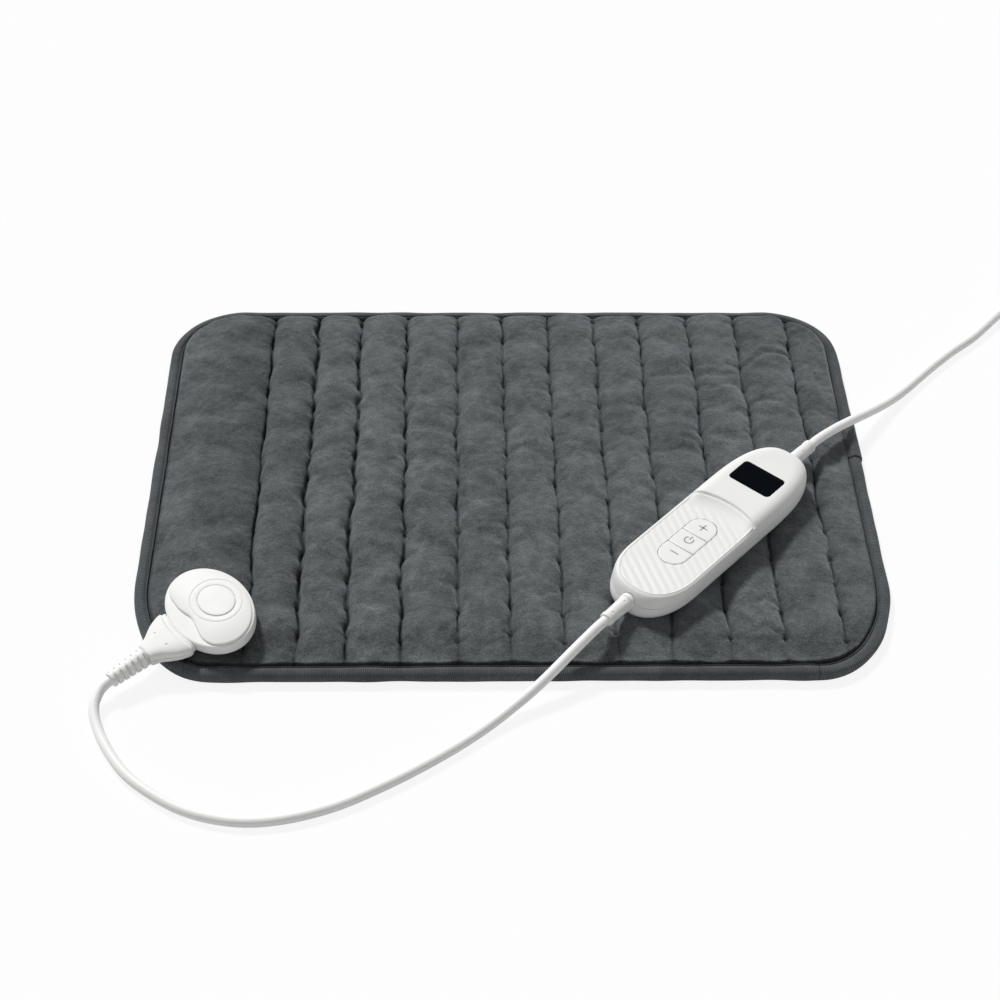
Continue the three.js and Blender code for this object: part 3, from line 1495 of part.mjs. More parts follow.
function cords() {
  const padLead = [
    fromSocket(plugReliefEnd + fit, plugAxisHeight),
    fromSocket(plugReliefEnd + fit + cordDiameter / 4, plugAxisHeight),
    ...padLeadRoute.map((point) => new THREE.Vector3(...point)),
    fromController(-leadBushEnd - fit - cordDiameter),
    fromController(-leadBushEnd - fit - cordDiameter / 2),
    fromController(-leadBushEnd - fit),
  ];
  addPiece('pad_lead', cordTube(padLead), cordCover);
  const mainsLead = [
    fromController(mainsBushEnd + fit),
    fromController(mainsBushEnd + fit + cordDiameter),
    ...mainsLeadRoute.map((point) => new THREE.Vector3(...point)),
    coilStart.clone().addScaledVector(heading(coilEntryAngle), -cordDiameter * 3),
    coilStart.clone().addScaledVector(heading(coilEntryAngle), -fit),
  ];
  addPiece('mains_lead', cordTube(mainsLead), cordCover);
  const coil = coilCentreline();
  addPiece('mains_coil', tubeThrough(coil, cordDiameter / 2, coilSides), cordCover);
  console.log('least gap of the coil to itself, mm:', leastCoilGap(coil).toFixed(2));

  const tieHeight = coilPitch + cordDiameter + fit * 2;
  const tieReach = coilPitch * coilTurnsPerLayer + cordDiameter + fit * 4;
  const tieShape = (grow) => {
    const halfReach = tieReach / 2 + grow;
    const low = tieThickness - grow;
    const high = tieThickness + tieHeight + grow;
    const bend = cordDiameter / 3;
    const shape = new THREE.Shape();
    shape.moveTo(-halfReach + bend, low);
    shape.lineTo(halfReach - bend, low);
    shape.absarc(halfReach - bend, low + bend, bend, -90 * degree, 0);
    shape.absarc(halfReach - bend, high - bend, bend, 0, 90 * degree);
    shape.absarc(-halfReach + bend, high - bend, bend, 90 * degree, 180 * degree);
    shape.absarc(-halfReach + bend, low + bend, bend, 180 * degree, 270 * degree);
    return shape;
  };
  const band = tieShape(tieThickness);
  band.holes.push(tieShape(0));
  const tie = new THREE.ExtrudeGeometry(band, {
    depth: tieWidth, bevelEnabled: false, curveSegments: 4,
  }).translate(0, 0, -tieWidth / 2).rotateX(Math.PI / 2);
  const tieMesh = addPiece('coil_tie', tie, blackPlastic);
  tieMesh.rotation.z = tieAngle;
  tieMesh.position.set(
    coilX + coilMeanDiameter / 2 * Math.cos(tieAngle),
    coilY + coilMeanDiameter / 2 * Math.sin(tieAngle),
    0,
  );
}

const mainsPlugFrame = new THREE.Group();
mainsPlugFrame.position.copy(coilEnd);
mainsPlugFrame.rotation.z = coilExitAngle;
model.add(mainsPlugFrame);

function mainsPlug() {
  addPiece('mains_strain_relief', ribbedRelief(
    fit, mainsReliefLength, cordDiameter / 2 + ribDepth, mainsReliefRadius, mainsReliefRibs,
  ), cordCover, mainsPlugFrame);
  const start = fit * 2 + mainsReliefLength;
  const outline = (inset) => {
    const steps = 6;
    const points = [];
    const end = start + mainsPlugLength - inset;
    for (let i = 0; i <= steps; i += 1) {
      const share = i / steps;
      const swell = (1 - Math.cos(Math.PI * Math.min(share / mainsPlugSwellShare, 1))) / 2;
      const half = mainsPlugNeck / 2 + (mainsPlugWidth - mainsPlugNeck) / 2 * swell - inset;
      points.push([start + inset + (end - start - inset) * share, -half]);
    }
    return [...points, ...points.map(([x, y]) => [x, -y]).reverse()];
  };
  const half = mainsPlugHeight / 2;
  addPiece('mains_plug_body', stacked(outline, [
    [mainsPlugRounding, -half],
    [mainsPlugRounding / 4, -half + mainsPlugRounding / 2],
    [0, -half + mainsPlugRounding],
    [0, half - mainsPlugRounding],
    [mainsPlugRounding / 4, half - mainsPlugRounding / 2],
    [mainsPlugRounding, half],
  ]), cordCover, mainsPlugFrame);
  const face = start + mainsPlugLength + fit;
  [-1, 1].forEach((side, k) => {
    addPiece(`mains_plug_pin_${k + 1}`, turned([
      [face, 0],
      [face, mainsPinRadius],
      [face + mainsPinLength - mainsPinRadius / 2, mainsPinRadius],
      [face + mainsPinLength, mainsPinRadius / 2],
      [face + mainsPinLength, 0],
    ], mainsPinSides).translate(0, side * mainsPinSpacing / 2, 0), copperAlloy, mainsPlugFrame);
  });
}

padLayers();
heatingWire();
socketPieces();
plugPieces();
controllerShells();
controllerInside();
bushes();
cords();
mainsPlug();

export default model;
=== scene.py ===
"""Looks of the heating pad with its controller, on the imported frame. Places are in the part's frame."""
from math import cos, hypot, inf, pi, radians, sin, sqrt, tan

import bmesh
import bpy
import numpy as np
from mathutils import Matrix, Vector


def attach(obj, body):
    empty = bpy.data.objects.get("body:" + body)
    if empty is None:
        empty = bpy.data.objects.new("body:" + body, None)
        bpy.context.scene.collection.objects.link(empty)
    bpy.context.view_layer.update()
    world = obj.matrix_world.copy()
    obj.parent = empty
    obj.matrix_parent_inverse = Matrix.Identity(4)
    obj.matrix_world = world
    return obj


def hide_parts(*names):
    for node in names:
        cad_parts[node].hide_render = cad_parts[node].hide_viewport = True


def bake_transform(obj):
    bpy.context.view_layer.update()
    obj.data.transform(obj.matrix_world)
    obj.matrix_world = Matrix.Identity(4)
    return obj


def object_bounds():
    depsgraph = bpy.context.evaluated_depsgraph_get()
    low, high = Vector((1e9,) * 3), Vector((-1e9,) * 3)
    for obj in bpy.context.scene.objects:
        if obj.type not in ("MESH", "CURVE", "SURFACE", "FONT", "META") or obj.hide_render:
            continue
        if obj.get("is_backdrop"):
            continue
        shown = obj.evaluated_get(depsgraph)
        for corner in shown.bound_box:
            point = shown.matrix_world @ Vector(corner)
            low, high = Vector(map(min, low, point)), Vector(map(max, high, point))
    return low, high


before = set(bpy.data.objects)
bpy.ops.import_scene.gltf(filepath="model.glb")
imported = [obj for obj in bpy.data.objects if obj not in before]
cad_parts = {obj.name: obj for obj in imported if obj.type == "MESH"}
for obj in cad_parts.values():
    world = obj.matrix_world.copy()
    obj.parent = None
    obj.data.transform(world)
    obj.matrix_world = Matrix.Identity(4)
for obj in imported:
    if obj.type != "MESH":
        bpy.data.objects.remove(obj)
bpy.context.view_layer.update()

ROOT = "pad_and_controller"
MM = 0.001
FIT = 0.3  # gap between pieces that meet, in millimetres as every size below
scene = bpy.context.scene
scene.view_settings.view_transform = "Standard"


def link(name, data):
    obj = bpy.data.objects.new(name, data)
    scene.collection.objects.link(obj)
    return obj


# camera, fitted to the pad's edges, with its focal length in pixels of the frame
FOCAL, FRAME, SENSOR = 2012.58, 1000, 36
CAMERA_PLACE = (-0.0314811, -0.8333813, 0.7659004)  # metres
PITCH, YAW, ROLL = (radians(a) for a in (43.0103, 1.8022, 1.1191))
camera = link("camera", bpy.data.cameras.new("camera"))
camera.matrix_world = (
    Matrix.Translation(CAMERA_PLACE) @ Matrix.Rotation(-YAW, 4, "Z")
    @ Matrix.Rotation(pi / 2 - PITCH, 4, "X") @ Matrix.Rotation(ROLL, 4, "Z")
)
camera.data.lens = FOCAL / FRAME * SENSOR
camera.data.sensor_width = SENSOR
scene.camera = camera


# mesh helpers
def put(name, points, faces, finish, *nodes, body=ROOT, crease=35, at=None):
    """A mesh piece from points in millimetres, in the part's frame or in the frame at.

    If it replaces nodes, they are hidden."""
    mesh = bpy.data.meshes.new(name)
    corners = np.asarray(points, float).reshape(-1, 3) * MM
    mesh.from_pydata(corners.tolist(), [], [tuple(f) for f in faces])
    mesh.update()
    bm = bmesh.new()
    bm.from_mesh(mesh)
    bmesh.ops.recalc_face_normals(bm, faces=bm.faces)
    bm.to_mesh(mesh)
    bm.free()
    mesh.shade_smooth()
    if crease is not None:
        mesh.set_sharp_from_angle(angle=radians(crease))
    if finish is not None:
        mesh.materials.append(finish)
    obj = link(name, mesh)
    if at is not None:
        mesh.transform(at)
    if body is not None:
        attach(obj, body)
    if nodes:
        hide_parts(*nodes)
    return obj


def loft_faces(count, size, row_closed=False, start=0):
    """Quads between closed rows of equal size."""
    faces = []
    for i in range(count if row_closed else count - 1):
        a, b = start + i * size, start + ((i + 1) % count) * size
        faces += [(a + j, a + (j + 1) % size, b + (j + 1) % size, b + j) for j in range(size)]
    return faces


def skin(rings, row_closed=False, start=0):
    """Points and faces of a skin over rings, with both ends filled unless it closes on itself."""
    rings = np.asarray(rings, float)
    count, size, _ = rings.shape
    points = list(rings.reshape(-1, 3))
    faces = loft_faces(count, size, row_closed, start)
    if not row_closed:
        for row, flip in ((0, True), (count - 1, False)):
            middle = start + len(points)
            points.append(rings[row].mean(0))
            for j in range(size):
                a, b = start + row * size + j, start + row * size + (j + 1) % size
                faces.append((middle, b, a) if flip else (middle, a, b))
    return points, faces


def loft(name, rings, finish, *nodes, row_closed=False, **options):
    return put(name, *skin(rings, row_closed), finish, *nodes, **options)


def round_angles(count):
    return np.linspace(0, 2 * pi, count, endpoint=False)


def revolve(name, profile, finish, *nodes, sides=48, axis_at=(0, 0), **options):
    """A turned piece round an axis along X. The profile lists (along, radius)."""
    rings = [
        [(x, axis_at[0] + r * cos(a), axis_at[1] + r * sin(a)) for a in round_angles(sides)]
        for x, r in profile
    ]
    return loft(name, rings, finish, *nodes, **options)


def level(outline, z):
    return np.column_stack([outline, np.full(len(outline), z)])


def levels(outline, steps):
    """Rings of an outline, one for each (inset or growth, height)."""
    return [level(outline(change), z) for change, z in steps]


def smooth(t):
    """A soft step from 0 to 1."""
    t = np.clip(t, 0, 1)
    return t * t * (3 - 2 * t)


def bell(t):
    """1 at 0, dying out past 1."""
    return np.exp(-t ** 2)


def headings(line):
    ahead = np.gradient(line, axis=0)
    return ahead / np.linalg.norm(ahead, axis=1)[:, None]


def run_along(line):
    return np.concatenate([[0], np.cumsum(np.linalg.norm(np.diff(line, axis=0), axis=1))])


def place_at(s, run, line):
    """Places on a flat line at the distances s along it."""
    return np.stack([np.interp(s, run, line[:, 0]), np.interp(s, run, line[:, 1])], 1)


def both_sides(x, y):
    """A closed outline from its half at y > 0."""
    return np.concatenate([np.stack([x, -y], 1), np.stack([x, y], 1)[::-1]])


def halve(low, high, steps, inside):
    """The furthest value from low to high that is inside."""
    for _ in range(steps):
        mid = (low + high) / 2
        keep = inside(mid)
        low, high = np.where(keep, mid, low), np.where(keep, high, mid)
    return low


def between(a, b, t_a, t_b, t):
    return (t_b - t) / (t_b - t_a) * a + (t - t_a) / (t_b - t_a) * b


def catmull(points, step):
    """Centripetal Catmull-Rom curve through points, sampled about every step."""
    p = np.asarray(points, float)
    q = np.vstack([2 * p[0] - p[1], p, 2 * p[-1] - p[-2]])
    out = []
    for i in range(1, len(q) - 2):
        four = q[i - 1:i + 3]
        gaps = np.maximum(np.linalg.norm(np.diff(four, axis=0), axis=1), 1e-9) ** 0.5
        at = np.concatenate([[0], np.cumsum(gaps)])
        n = max(int(np.linalg.norm(q[i + 1] - q[i]) / step), 1)
        for t in np.linspace(at[1], at[2], n, endpoint=False):
            a = [between(four[j], four[j + 1], at[j], at[j + 1], t) for j in range(3)]
            b = [between(a[j], a[j + 1], at[j], at[j + 2], t) for j in range(2)]
            out.append(between(*b, at[1], at[2], t))
    out.append(p[-1])
    return np.array(out)


def tube_rings(line, radius, sides):
    ahead = headings(line)
    side = np.cross(ahead, (0, 0, 1.0))
    side /= np.linalg.norm(side, axis=1)[:, None]
    rise = np.cross(side, ahead)
    a = (np.arange(sides) + 0.5) * 2 * pi / sides
    round_it = np.cos(a)[:, None] * side[:, None] + np.sin(a)[:, None] * rise[:, None]
    return line[:, None] + radius * round_it


# materials
def feed(tree, node, inputs):
    """Links the sockets among a node's inputs and sets the other values."""
    for key, value in inputs.items():
        if isinstance(value, bpy.types.NodeSocket):
            tree.links.new(value, node.inputs[key])
        else:
            node.inputs[key].default_value = value


def add(tree, kind, inputs, out=0, **settings):
    """The output of a new shader node."""
    node = tree.nodes.new("ShaderNode" + kind)
    for key, value in settings.items():
        setattr(node, key, value)
    feed(tree, node, inputs)
    return node.outputs[out]


def dress(made, **inputs):
    """Sets or links inputs of a material's Principled shader. _ stands for a space."""
    tree = made.node_tree
    spaced = {key.replace("_", " "): value for key, value in inputs.items()}
    feed(tree, tree.nodes["Principled BSDF"], spaced)


FINISHES = {}


def material(name, color, roughness, **inputs):
    made = FINISHES[name] = bpy.data.materials.new(name)
    made.use_nodes = True
    dress(made, Base_Color=(*color, 1), Roughness=roughness, **inputs)
    return made, made.node_tree


def noise(tree, scale, detail=2, rough=0.5):
    place = add(tree, "TexCoord", {}, "Object")
    values = {"Scale": scale, "Detail": detail, "Roughness": rough, "Vector": place}
    return add(tree, "TexNoise", values)


def ramp(tree, factor, *stops):
    made = add(tree, "ValToRGB", {"Fac": factor})
    band = made.node.color_ramp.elements
    while len(band) < len(stops):
        band.new(0.5)
    for element, (place, color, share) in zip(band, stops):
        element.position = place
        element.color = (*(c * share for c in color), 1)
    return made


def tint(tree, factor, color, low, high):
    """The colour times low to high, as the factor rises."""
    return ramp(tree, factor, (0.3, color, low), (0.7, color, high))


def bump(tree, height, distance, strength, **below):
    return add(tree, "Bump", {"Distance": distance, "Strength": strength, "Height": height, **below})


def plastic(name, color, roughness, grain=900, depth=0.00002, strength=0.25, swing=0.03, **inputs):
    """Moulded plastic: fine surface grain, a trace of colour drift and uneven gloss."""
    made, tree = material(name, color, roughness, **inputs)
    drift = noise(tree, 35, 3)
    gloss = add(tree, "MapRange", {
        "From Min": 0.3, "From Max": 0.7, "To Min": roughness * 0.88, "To Max": roughness * 1.12,
        "Value": drift,
    })
    dress(
        made, Normal=bump(tree, noise(tree, grain), depth, strength), Roughness=gloss,
        Base_Color=tint(tree, drift, color, 1 - swing, 1 + swing),
    )
    return made


def fabric(name, color, roughness, sheen):
    return material(
        name, color, roughness, Specular_IOR_Level=0.15, Sheen_Weight=sheen, Sheen_Roughness=0.42,
        Sheen_Tint=(0.85, 0.92, 1, 1),
    )


# Plush: short pile whose nap lies differently from patch to patch. The shade attribute paints shade into its
# seams, tack holes and edge, and a sheen across its channels.
PLUSH = (0.096, 0.106, 0.107)
plush, tree = fabric("plush", PLUSH, 0.95, 0.45)
pile, clump = noise(tree, 1150, 4, 0.72), noise(tree, 420, 3, 0.6)
nap, brushed = noise(tree, 46, 4, 0.55), noise(tree, 190, 4, 0.6)
mixed = 0
for source, share in ((pile, 0.5), (nap, 0.24), (brushed, 0.26)):
    mixed = add(tree, "Math", {0: source, 1: share, 2: mixed}, operation="MULTIPLY_ADD")
tone = ramp(tree, mixed, (0.38, PLUSH, 0.45), (0.5, PLUSH, 1), (0.62, PLUSH, 1.75))
# painted shade from the shade attribute, with each channel's tone; it darkens the colour and dims the sheen
painted_shade = add(tree, "Attribute", {}, "Fac", attribute_name="shade")
lie = add(tree, "MapRange", {"To Min": 0.42, "To Max": 0.66, "Value": nap})
clumps = bump(tree, clump, 0.0009, 0.6)
dress(
    plush, Normal=bump(tree, pile, 0.0006, 0.9, Normal=clumps),
    Base_Color=add(tree, "VectorMath", {0: tone, "Scale": painted_shade}, operation="SCALE"),
    Sheen_Weight=add(tree, "Math", {0: lie, 1: painted_shade}, operation="MULTIPLY"),
)

# Binding tape: fine ribs across it, from the distance stored along it.
TAPE, TAPE_RIB = (0.09, 0.097, 0.1), 1.1
tape, tree = fabric("binding_tape", TAPE, 0.85, 0.3)
along = add(tree, "Attribute", {}, "Fac", attribute_name="along")
turns = add(tree, "Math", {0: along, 1: 2 * pi / TAPE_RIB}, operation="MULTIPLY")
ribs = bump(tree, add(tree, "Math", {0: turns}, operation="SINE"), 0.00022, 0.9)
dress(
    tape, Normal=bump(tree, noise(tree, 2600, 2, 0.6), 0.0003, 0.5, Normal=ribs),
    Base_Color=tint(tree, noise(tree, 90, 4, 0.6), TAPE, 0.75, 1.3),
)

THREAD = (0.018, 0.02, 0.022)
thread, tree = fabric("thread", THREAD, 0.8, 0.1)
twist = noise(tree, 3200, 1)
dress(thread, Normal=bump(tree, twist, 0.0002, 0.6), Base_Color=tint(tree, twist, THREAD, 0.7, 1.5))

FINE = {"depth": 0.00001}
white = plastic(
    "white_plastic", (0.86, 0.86, 0.845), 0.52, grain=1500, swing=0.015, Specular_IOR_Level=0.3, **FINE,
)
key_white = plastic("key_plastic", (0.87, 0.87, 0.855), 0.55, grain=1700, swing=0.015, **FINE)
print_grey = plastic("key_symbol", (0.29, 0.3, 0.31), 0.6, grain=1700, swing=0.06, **FINE)
glass_black = plastic(
    "display_glass", (0.0012, 0.0022, 0.004), 0.12, grain=30, strength=0.1, swing=0.3,
    Specular_IOR_Level=0.015, **FINE,
)
cord_cover = plastic(
    "cord_cover", (0.93, 0.93, 0.92), 0.5, grain=1400, swing=0.02, Specular_IOR_Level=0.45, **FINE,
)
black = plastic("black_plastic", (0.014, 0.016, 0.018), 0.5, swing=0.2)
METAL = {"grain": 2200, "strength": 0.2, "swing": 0.1, "Metallic": 1}
brass = plastic("contact_brass", (0.58, 0.37, 0.1), 0.3, **METAL)

# places
SOCKET_LONG, SOCKET_SHORT = 58.4, 42.4
SOCKET_X, SOCKET_Y = -157.3, -114.6
SOCKET_TURN, TILT = radians(220.5), radians(7)
BINDING_TOP, PLUG_CLEAR = 7.5, 0.4
PLUG_CROSSING = 31  # from the socket's middle to where the plug crosses the binding
SOCKET_LIFT = BINDING_TOP + PLUG_CLEAR + PLUG_CROSSING * sin(TILT)


def placed(x, y, z, turn, tilt=0):
    """A frame at a place, tilted and then turned."""
    spot = Matrix.Translation(Vector((x, y, z)) * MM)
    return spot @ Matrix.Rotation(turn, 4, "Z") @ Matrix.Rotation(tilt, 4, "Y")


SOCKET = placed(SOCKET_X, SOCKET_Y, SOCKET_LIFT, SOCKET_TURN, TILT)
CONTROLLER = placed(105.8, -59.3, 13.3, radians(47.6))


def from_frame(at, height, *distances):
    """Points on a level line in a frame, as points in the part's frame."""
    return [at @ (Vector((along, 0, height)) * MM) / MM for along in distances]


# cords
CORD = 5.4
PLUG_CORD, CASE_CORD = 4.75, 7.2  # the cord's height in the socket's and the controller's frame
PAD_LEAD_ROUTE = [
    (-208.3, -159.0, 7.2), (-210.4, -165.2, 5.8), (-210.1, -172.6, 4.4), (-206.8, -182.4, 3.2),
    (-200.9, -194.3, 2.8), (-190.0, -210.0, 2.8), (-176.0, -222.2, 2.8), (-161.0, -231.5, 2.8),
    (-144.4, -237.0, 2.8), (-128.2, -238.8, 2.8), (-110.4, -236.6, 2.8), (-88.6, -229.6, 2.8),
    (-66.8, -218.0, 2.8), (-47.6, -205.8, 2.8), (-28.6, -192.0, 2.8), (-13.2, -179.3, 3.4),
    (-0.8, -168.8, 5.6), (9.6, -160.2, 8.8), (19.0, -151.8, 12.6), (28.4, -142.6, 16.2),
]
MAINS_LEAD_ROUTE = [
    (184.4, 26.6, 17.4), (196.6, 38.8, 13.6), (210.4, 52.4, 8.8), (224.0, 66.0, 4.9),
    (235.6, 78.4, 3.1), (246.2, 90.2, 2.8), (258.0, 102.8, 2.8), (271.0, 115.6, 2.8),
    (286.0, 129.0, 2.8),
]

# coil, wound inwards and then out again one layer higher; its turns are counted from the outside
COIL_X, COIL_Y, COIL_MEAN = 355, 138, 60
LAYER_TURNS, END_TURNS, CLIMB_TURNS = 3.5, 0.375, 0.5
COIL_TURNS = 2 * LAYER_TURNS + END_TURNS
COIL_PITCH = CORD + 0.5
TIE_THICK, TIE_ANGLE, TIE_HALF = 0.9, radians(100), 4.5
COIL_LOW = TIE_THICK + FIT + CORD / 2
COIL_OUTER = COIL_MEAN / 2 + LAYER_TURNS * COIL_PITCH / 2
ENTRY = radians(36)
EXIT = ENTRY - COIL_TURNS * 2 * pi
TAIL, TAIL_LEVEL, IN_RELIEF = 38, 14, 1.5


def heading(a):
    return np.array((cos(a), sin(a), 0))


def coil_point(turn):
    past = turn - LAYER_TURNS
    r = COIL_OUTER - COIL_PITCH * turn
    if past > CLIMB_TURNS / 2:
        r = COIL_OUTER - COIL_PITCH * LAYER_TURNS + COIL_PITCH * (past - CLIMB_TURNS)
    climb = min(max(past / CLIMB_TURNS, 0), 1)
    spot = np.array((COIL_X, COIL_Y, COIL_LOW + COIL_PITCH * (1 - cos(pi * climb)) / 2))
    return spot + r * heading(ENTRY + pi / 2 - turn * 2 * pi)


coil_start = coil_point(0) - heading(ENTRY) * CORD * 1.5
coil_exit = coil_point(COIL_TURNS)


def tail(distance, z):
    p = coil_exit + heading(EXIT) * distance
    p[2] = z
    return p


MAINS_PLUG_HALF = 7
PLUG_Z = MAINS_PLUG_HALF + FIT
MAINS_PLUG = placed(*tail(TAIL, PLUG_Z), EXIT)
lead_line = catmull([
    *from_frame(SOCKET, PLUG_CORD, 59.6, 62.65), *PAD_LEAD_ROUTE,
    *from_frame(CONTROLLER, CASE_CORD, -94.6, -91.9, -87.4),
], 2.5)
pad_lead = loft("pad_lead_cord", tube_rings(lead_line, CORD / 2, 24), cord_cover, "pad_lead", body=None)
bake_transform(pad_lead)

mains_line = catmull([
    *from_frame(CONTROLLER, CASE_CORD, 91.6, 98.8), *MAINS_LEAD_ROUTE,
    coil_start - heading(ENTRY) * CORD * 3, coil_start,
    *[coil_point(t) for t in np.linspace(0, COIL_TURNS, round(COIL_TURNS * 36) + 1)],
    tail(TAIL_LEVEL / 2, coil_exit[2]), tail(TAIL_LEVEL, coil_exit[2]),
    tail((TAIL_LEVEL + TAIL - CORD) / 2, (coil_exit[2] + PLUG_Z) / 2), tail(TAIL - CORD, PLUG_Z),
    tail(TAIL + IN_RELIEF, PLUG_Z),
], 2.5)
mains_rings = tube_rings(mains_line, CORD / 2, 20)
mains_cord = loft("mains_cord", mains_rings, cord_cover, "mains_lead", "mains_coil")

# pad
PAD_X, PAD_Y = 200.0, 150.0  # half its width and depth
FRONT, BACK = (45.0, 68.0), (42.0, 42.0)  # how far the corners reach along X and Y
HEM, LEAST_HEIGHT = 7.3, 4.3  # where the quilted cloth ends inside the outline, and its lowest height
BORDER_CHANNEL, LAST_CHANNEL = 60.7, 29.6
SHARES = np.array([0.95, 0.91, 1, 1.05, 0.96, 0.99, 0.98, 0.96, 1.07, 1.02, 1.11])
SEAM_SPAN = 2 * PAD_X - BORDER_CHANNEL - LAST_CHANNEL
SEAMS = -PAD_X + BORDER_CHANNEL + np.concatenate([[0], np.cumsum(SHARES) * SEAM_SPAN / SHARES.sum()])
LAST = len(SEAMS)
TACK_PITCH, TACK_HALF = 20.0, 0.95
rng = np.random.default_rng(7)


def edge_distance(x, y):
    """How far a point lies inside the pad's outline."""
    x, y = np.broadcast_arrays(np.asarray(x, float), np.asarray(y, float))
    rx, ry = (np.where(y < 0, front, back) for front, back in zip(FRONT, BACK))
    bx, by = np.abs(x) - (PAD_X - rx), np.abs(y) - (PAD_Y - ry)
    curved = halve(
        -np.maximum(rx, ry), np.minimum(rx, ry) - 1e-6, 26,
        lambda mid: (bx / (rx - mid)) ** 2 + (by / (ry - mid)) ** 2 < 1,
    )
    return np.where((bx <= 0) | (by <= 0), np.minimum(rx - bx, ry - by), curved)


def field(size, count, seed):
    """A smooth random function of a place on the pad: a sum of waves with seeded directions."""
    r = np.random.default_rng(seed)
    angle = r.uniform(0, pi, count)
    freq = 2 * pi / size * r.uniform(0.6, 1.5, count)
    waves = list(zip(np.cos(angle) * freq, np.sin(angle) * freq, r.uniform(0, 2 * pi, count)))
    return lambda x, y: sum(np.sin(kx * x + ky * y + p) for kx, ky, p in waves) * sqrt(2 / count)


# For each seam: the height it is drawn down to, half its flattened strip and how much it zigzags.
SEAM_FLOOR = [6.6, 6.9, 7.0, 7.6, 8.7, 8.9, 9.0, 9.0, 8.8, 8.5, 8.5, 8.2]
SEAM_HALF = [0.3, 0.7, 0.8, 0.5, 0.9, 0.6, 0.7, 0.9, 0.6, 0.6, 0.7, 0.6]
ZIGZAG = [0.2, 0.42, 0.42, 0.38, 0.3, 0.25, 0.25, 0.2, 0.2, 0.2, 0.2, 0.2]
# How light the pile of each channel lies.
CHANNEL_TONE = [0.87, 0.92, 1.01, 1.06, 1.03, 1.0, 1.0, 1.02, 1.02, 1.03, 1.04, 0.99, 0.93]
sway, zigzag, slit_depth = field(70, 9, 3), field(11, 9, 13), field(22, 8, 17)
width_sway, lump, dent, fine = field(24, 7, 9), field(46, 12, 4), field(18, 16, 5), field(7, 18, 6)
tack_start = rng.uniform(0, TACK_PITCH * 0.4, LAST)
tack_shift = rng.normal(0, 0.5, (LAST, 40))
# Creases: the points of each, its depth and its width.
WRINKLES = [
    ([(143, 93), (155, 103), (169, 101)], 0.8, 1.7), ([(84, 81), (104, 83), (137, 83)], 0.5, 2.2),
    ([(126, 87), (131, 93), (139, 87)], 0.5, 1.6), ([(99, 26), (106, 23), (109, 18)], 0.7, 1.7),
    ([(128, 46), (133, 50), (138, 45)], 0.6, 1.5), ([(119, 69), (131, 74), (138, 68)], 0.5, 1.8),
    ([(141, 56), (149, 60), (158, 58)], 0.5, 1.8), ([(2, 16), (12, 18), (20, 8)], 0.5, 2.0),
    ([(85, 14), (96, 17), (105, 15)], 0.4, 1.8), ([(127, -104), (132, -101), (137, -105)], 0.6, 1.6),
    ([(124, -125), (131, -122), (135, -126)], 0.5, 1.6),
    ([(-38, -125), (-35, -123), (-32, -118)], 0.5, 1.6),
    ([(14, -100), (18, -96), (21, -97)], 0.5, 1.5),
]


def seam_line(k, y):
    """A seam wanders a little; the wandering dies out at the pad's ends."""
    free = smooth((PAD_Y - 8 - np.abs(y)) / 14)
    wander = 0.5 * sway(SEAMS[k] * 3.1, y + 200 * k)
    return SEAMS[k] + (wander + ZIGZAG[k] * zigzag(SEAMS[k] * 1.7, y + 130 * k)) * free


def seam_half(k, y):
    return SEAM_HALF[k] * (1 + 0.45 * width_sway(SEAMS[k] * 2.3, y + 90 * k))


def tack_places(k):
    ys = np.arange(-PAD_Y + 19 + tack_start[k], PAD_Y - 12, TACK_PITCH)
    return ys + tack_shift[k][: len(ys)]


def tack_wave(k, y):
    """0 at a tack and 1 half way between two. Beside the pad's sides there are none."""
    if not 0 <= k < LAST:
        return 1.0
    near = np.min(np.abs(y[..., None] - tack_places(k)), axis=-1)
    return np.clip(near / (TACK_PITCH / 2), 0, 1)


# How the cloth is pressed down under the socket and the plug, and rises beside them.
PRESS_MARGIN, PRESS_CLEARANCE, PRESS_SLOPE = 2, 1.3, 0.9
HOUSING_FLOOR, MOUTH_HALF, MOUTH_X = 2.2, 16.6, 19.9


def pressed(x, y):
    dx, dy = x - SOCKET_X, y - SOCKET_Y
    along = dx * cos(SOCKET_TURN) + dy * sin(SOCKET_TURN)
    across = -dx * sin(SOCKET_TURN) + dy * cos(SOCKET_TURN)
    plane = SOCKET_LIFT - along * tan(TILT) - PRESS_CLEARANCE
    reach = np.hypot(along / SOCKET_SHORT, across / SOCKET_LONG) * SOCKET_LONG
    off_socket = np.maximum(reach - SOCKET_LONG / 2 - PRESS_MARGIN, 0)
    off_mouth = np.maximum(np.abs(across) - MOUTH_HALF - PRESS_MARGIN, MOUTH_X - PRESS_MARGIN - along)
    by_socket = plane + HOUSING_FLOOR + off_socket * PRESS_SLOPE
    return np.minimum(by_socket, plane + np.maximum(off_mouth, 0) * PRESS_SLOPE)


def from_line(x, y, points):
    """Distance to a line through points."""
    best = np.full(np.shape(x), 1e9)
    for (ax, ay), (bx, by) in zip(points, points[1:]):
        dx, dy = bx - ax, by - ay
        t = np.clip(((x - ax) * dx + (y - ay) * dy) / (dx * dx + dy * dy), 0, 1)
        best = np.minimum(best, np.hypot(x - ax - t * dx, y - ay - t * dy))
    return best


def front_calm(y):
    """1 at the pad's front edge, where the channels flatten, and 0 further in."""
    return 1 - smooth((y + PAD_Y - 9) / 34)


CROWN, SIDE_FLOOR, EDGE_FLOOR = 12.75, 7.4, 4.4


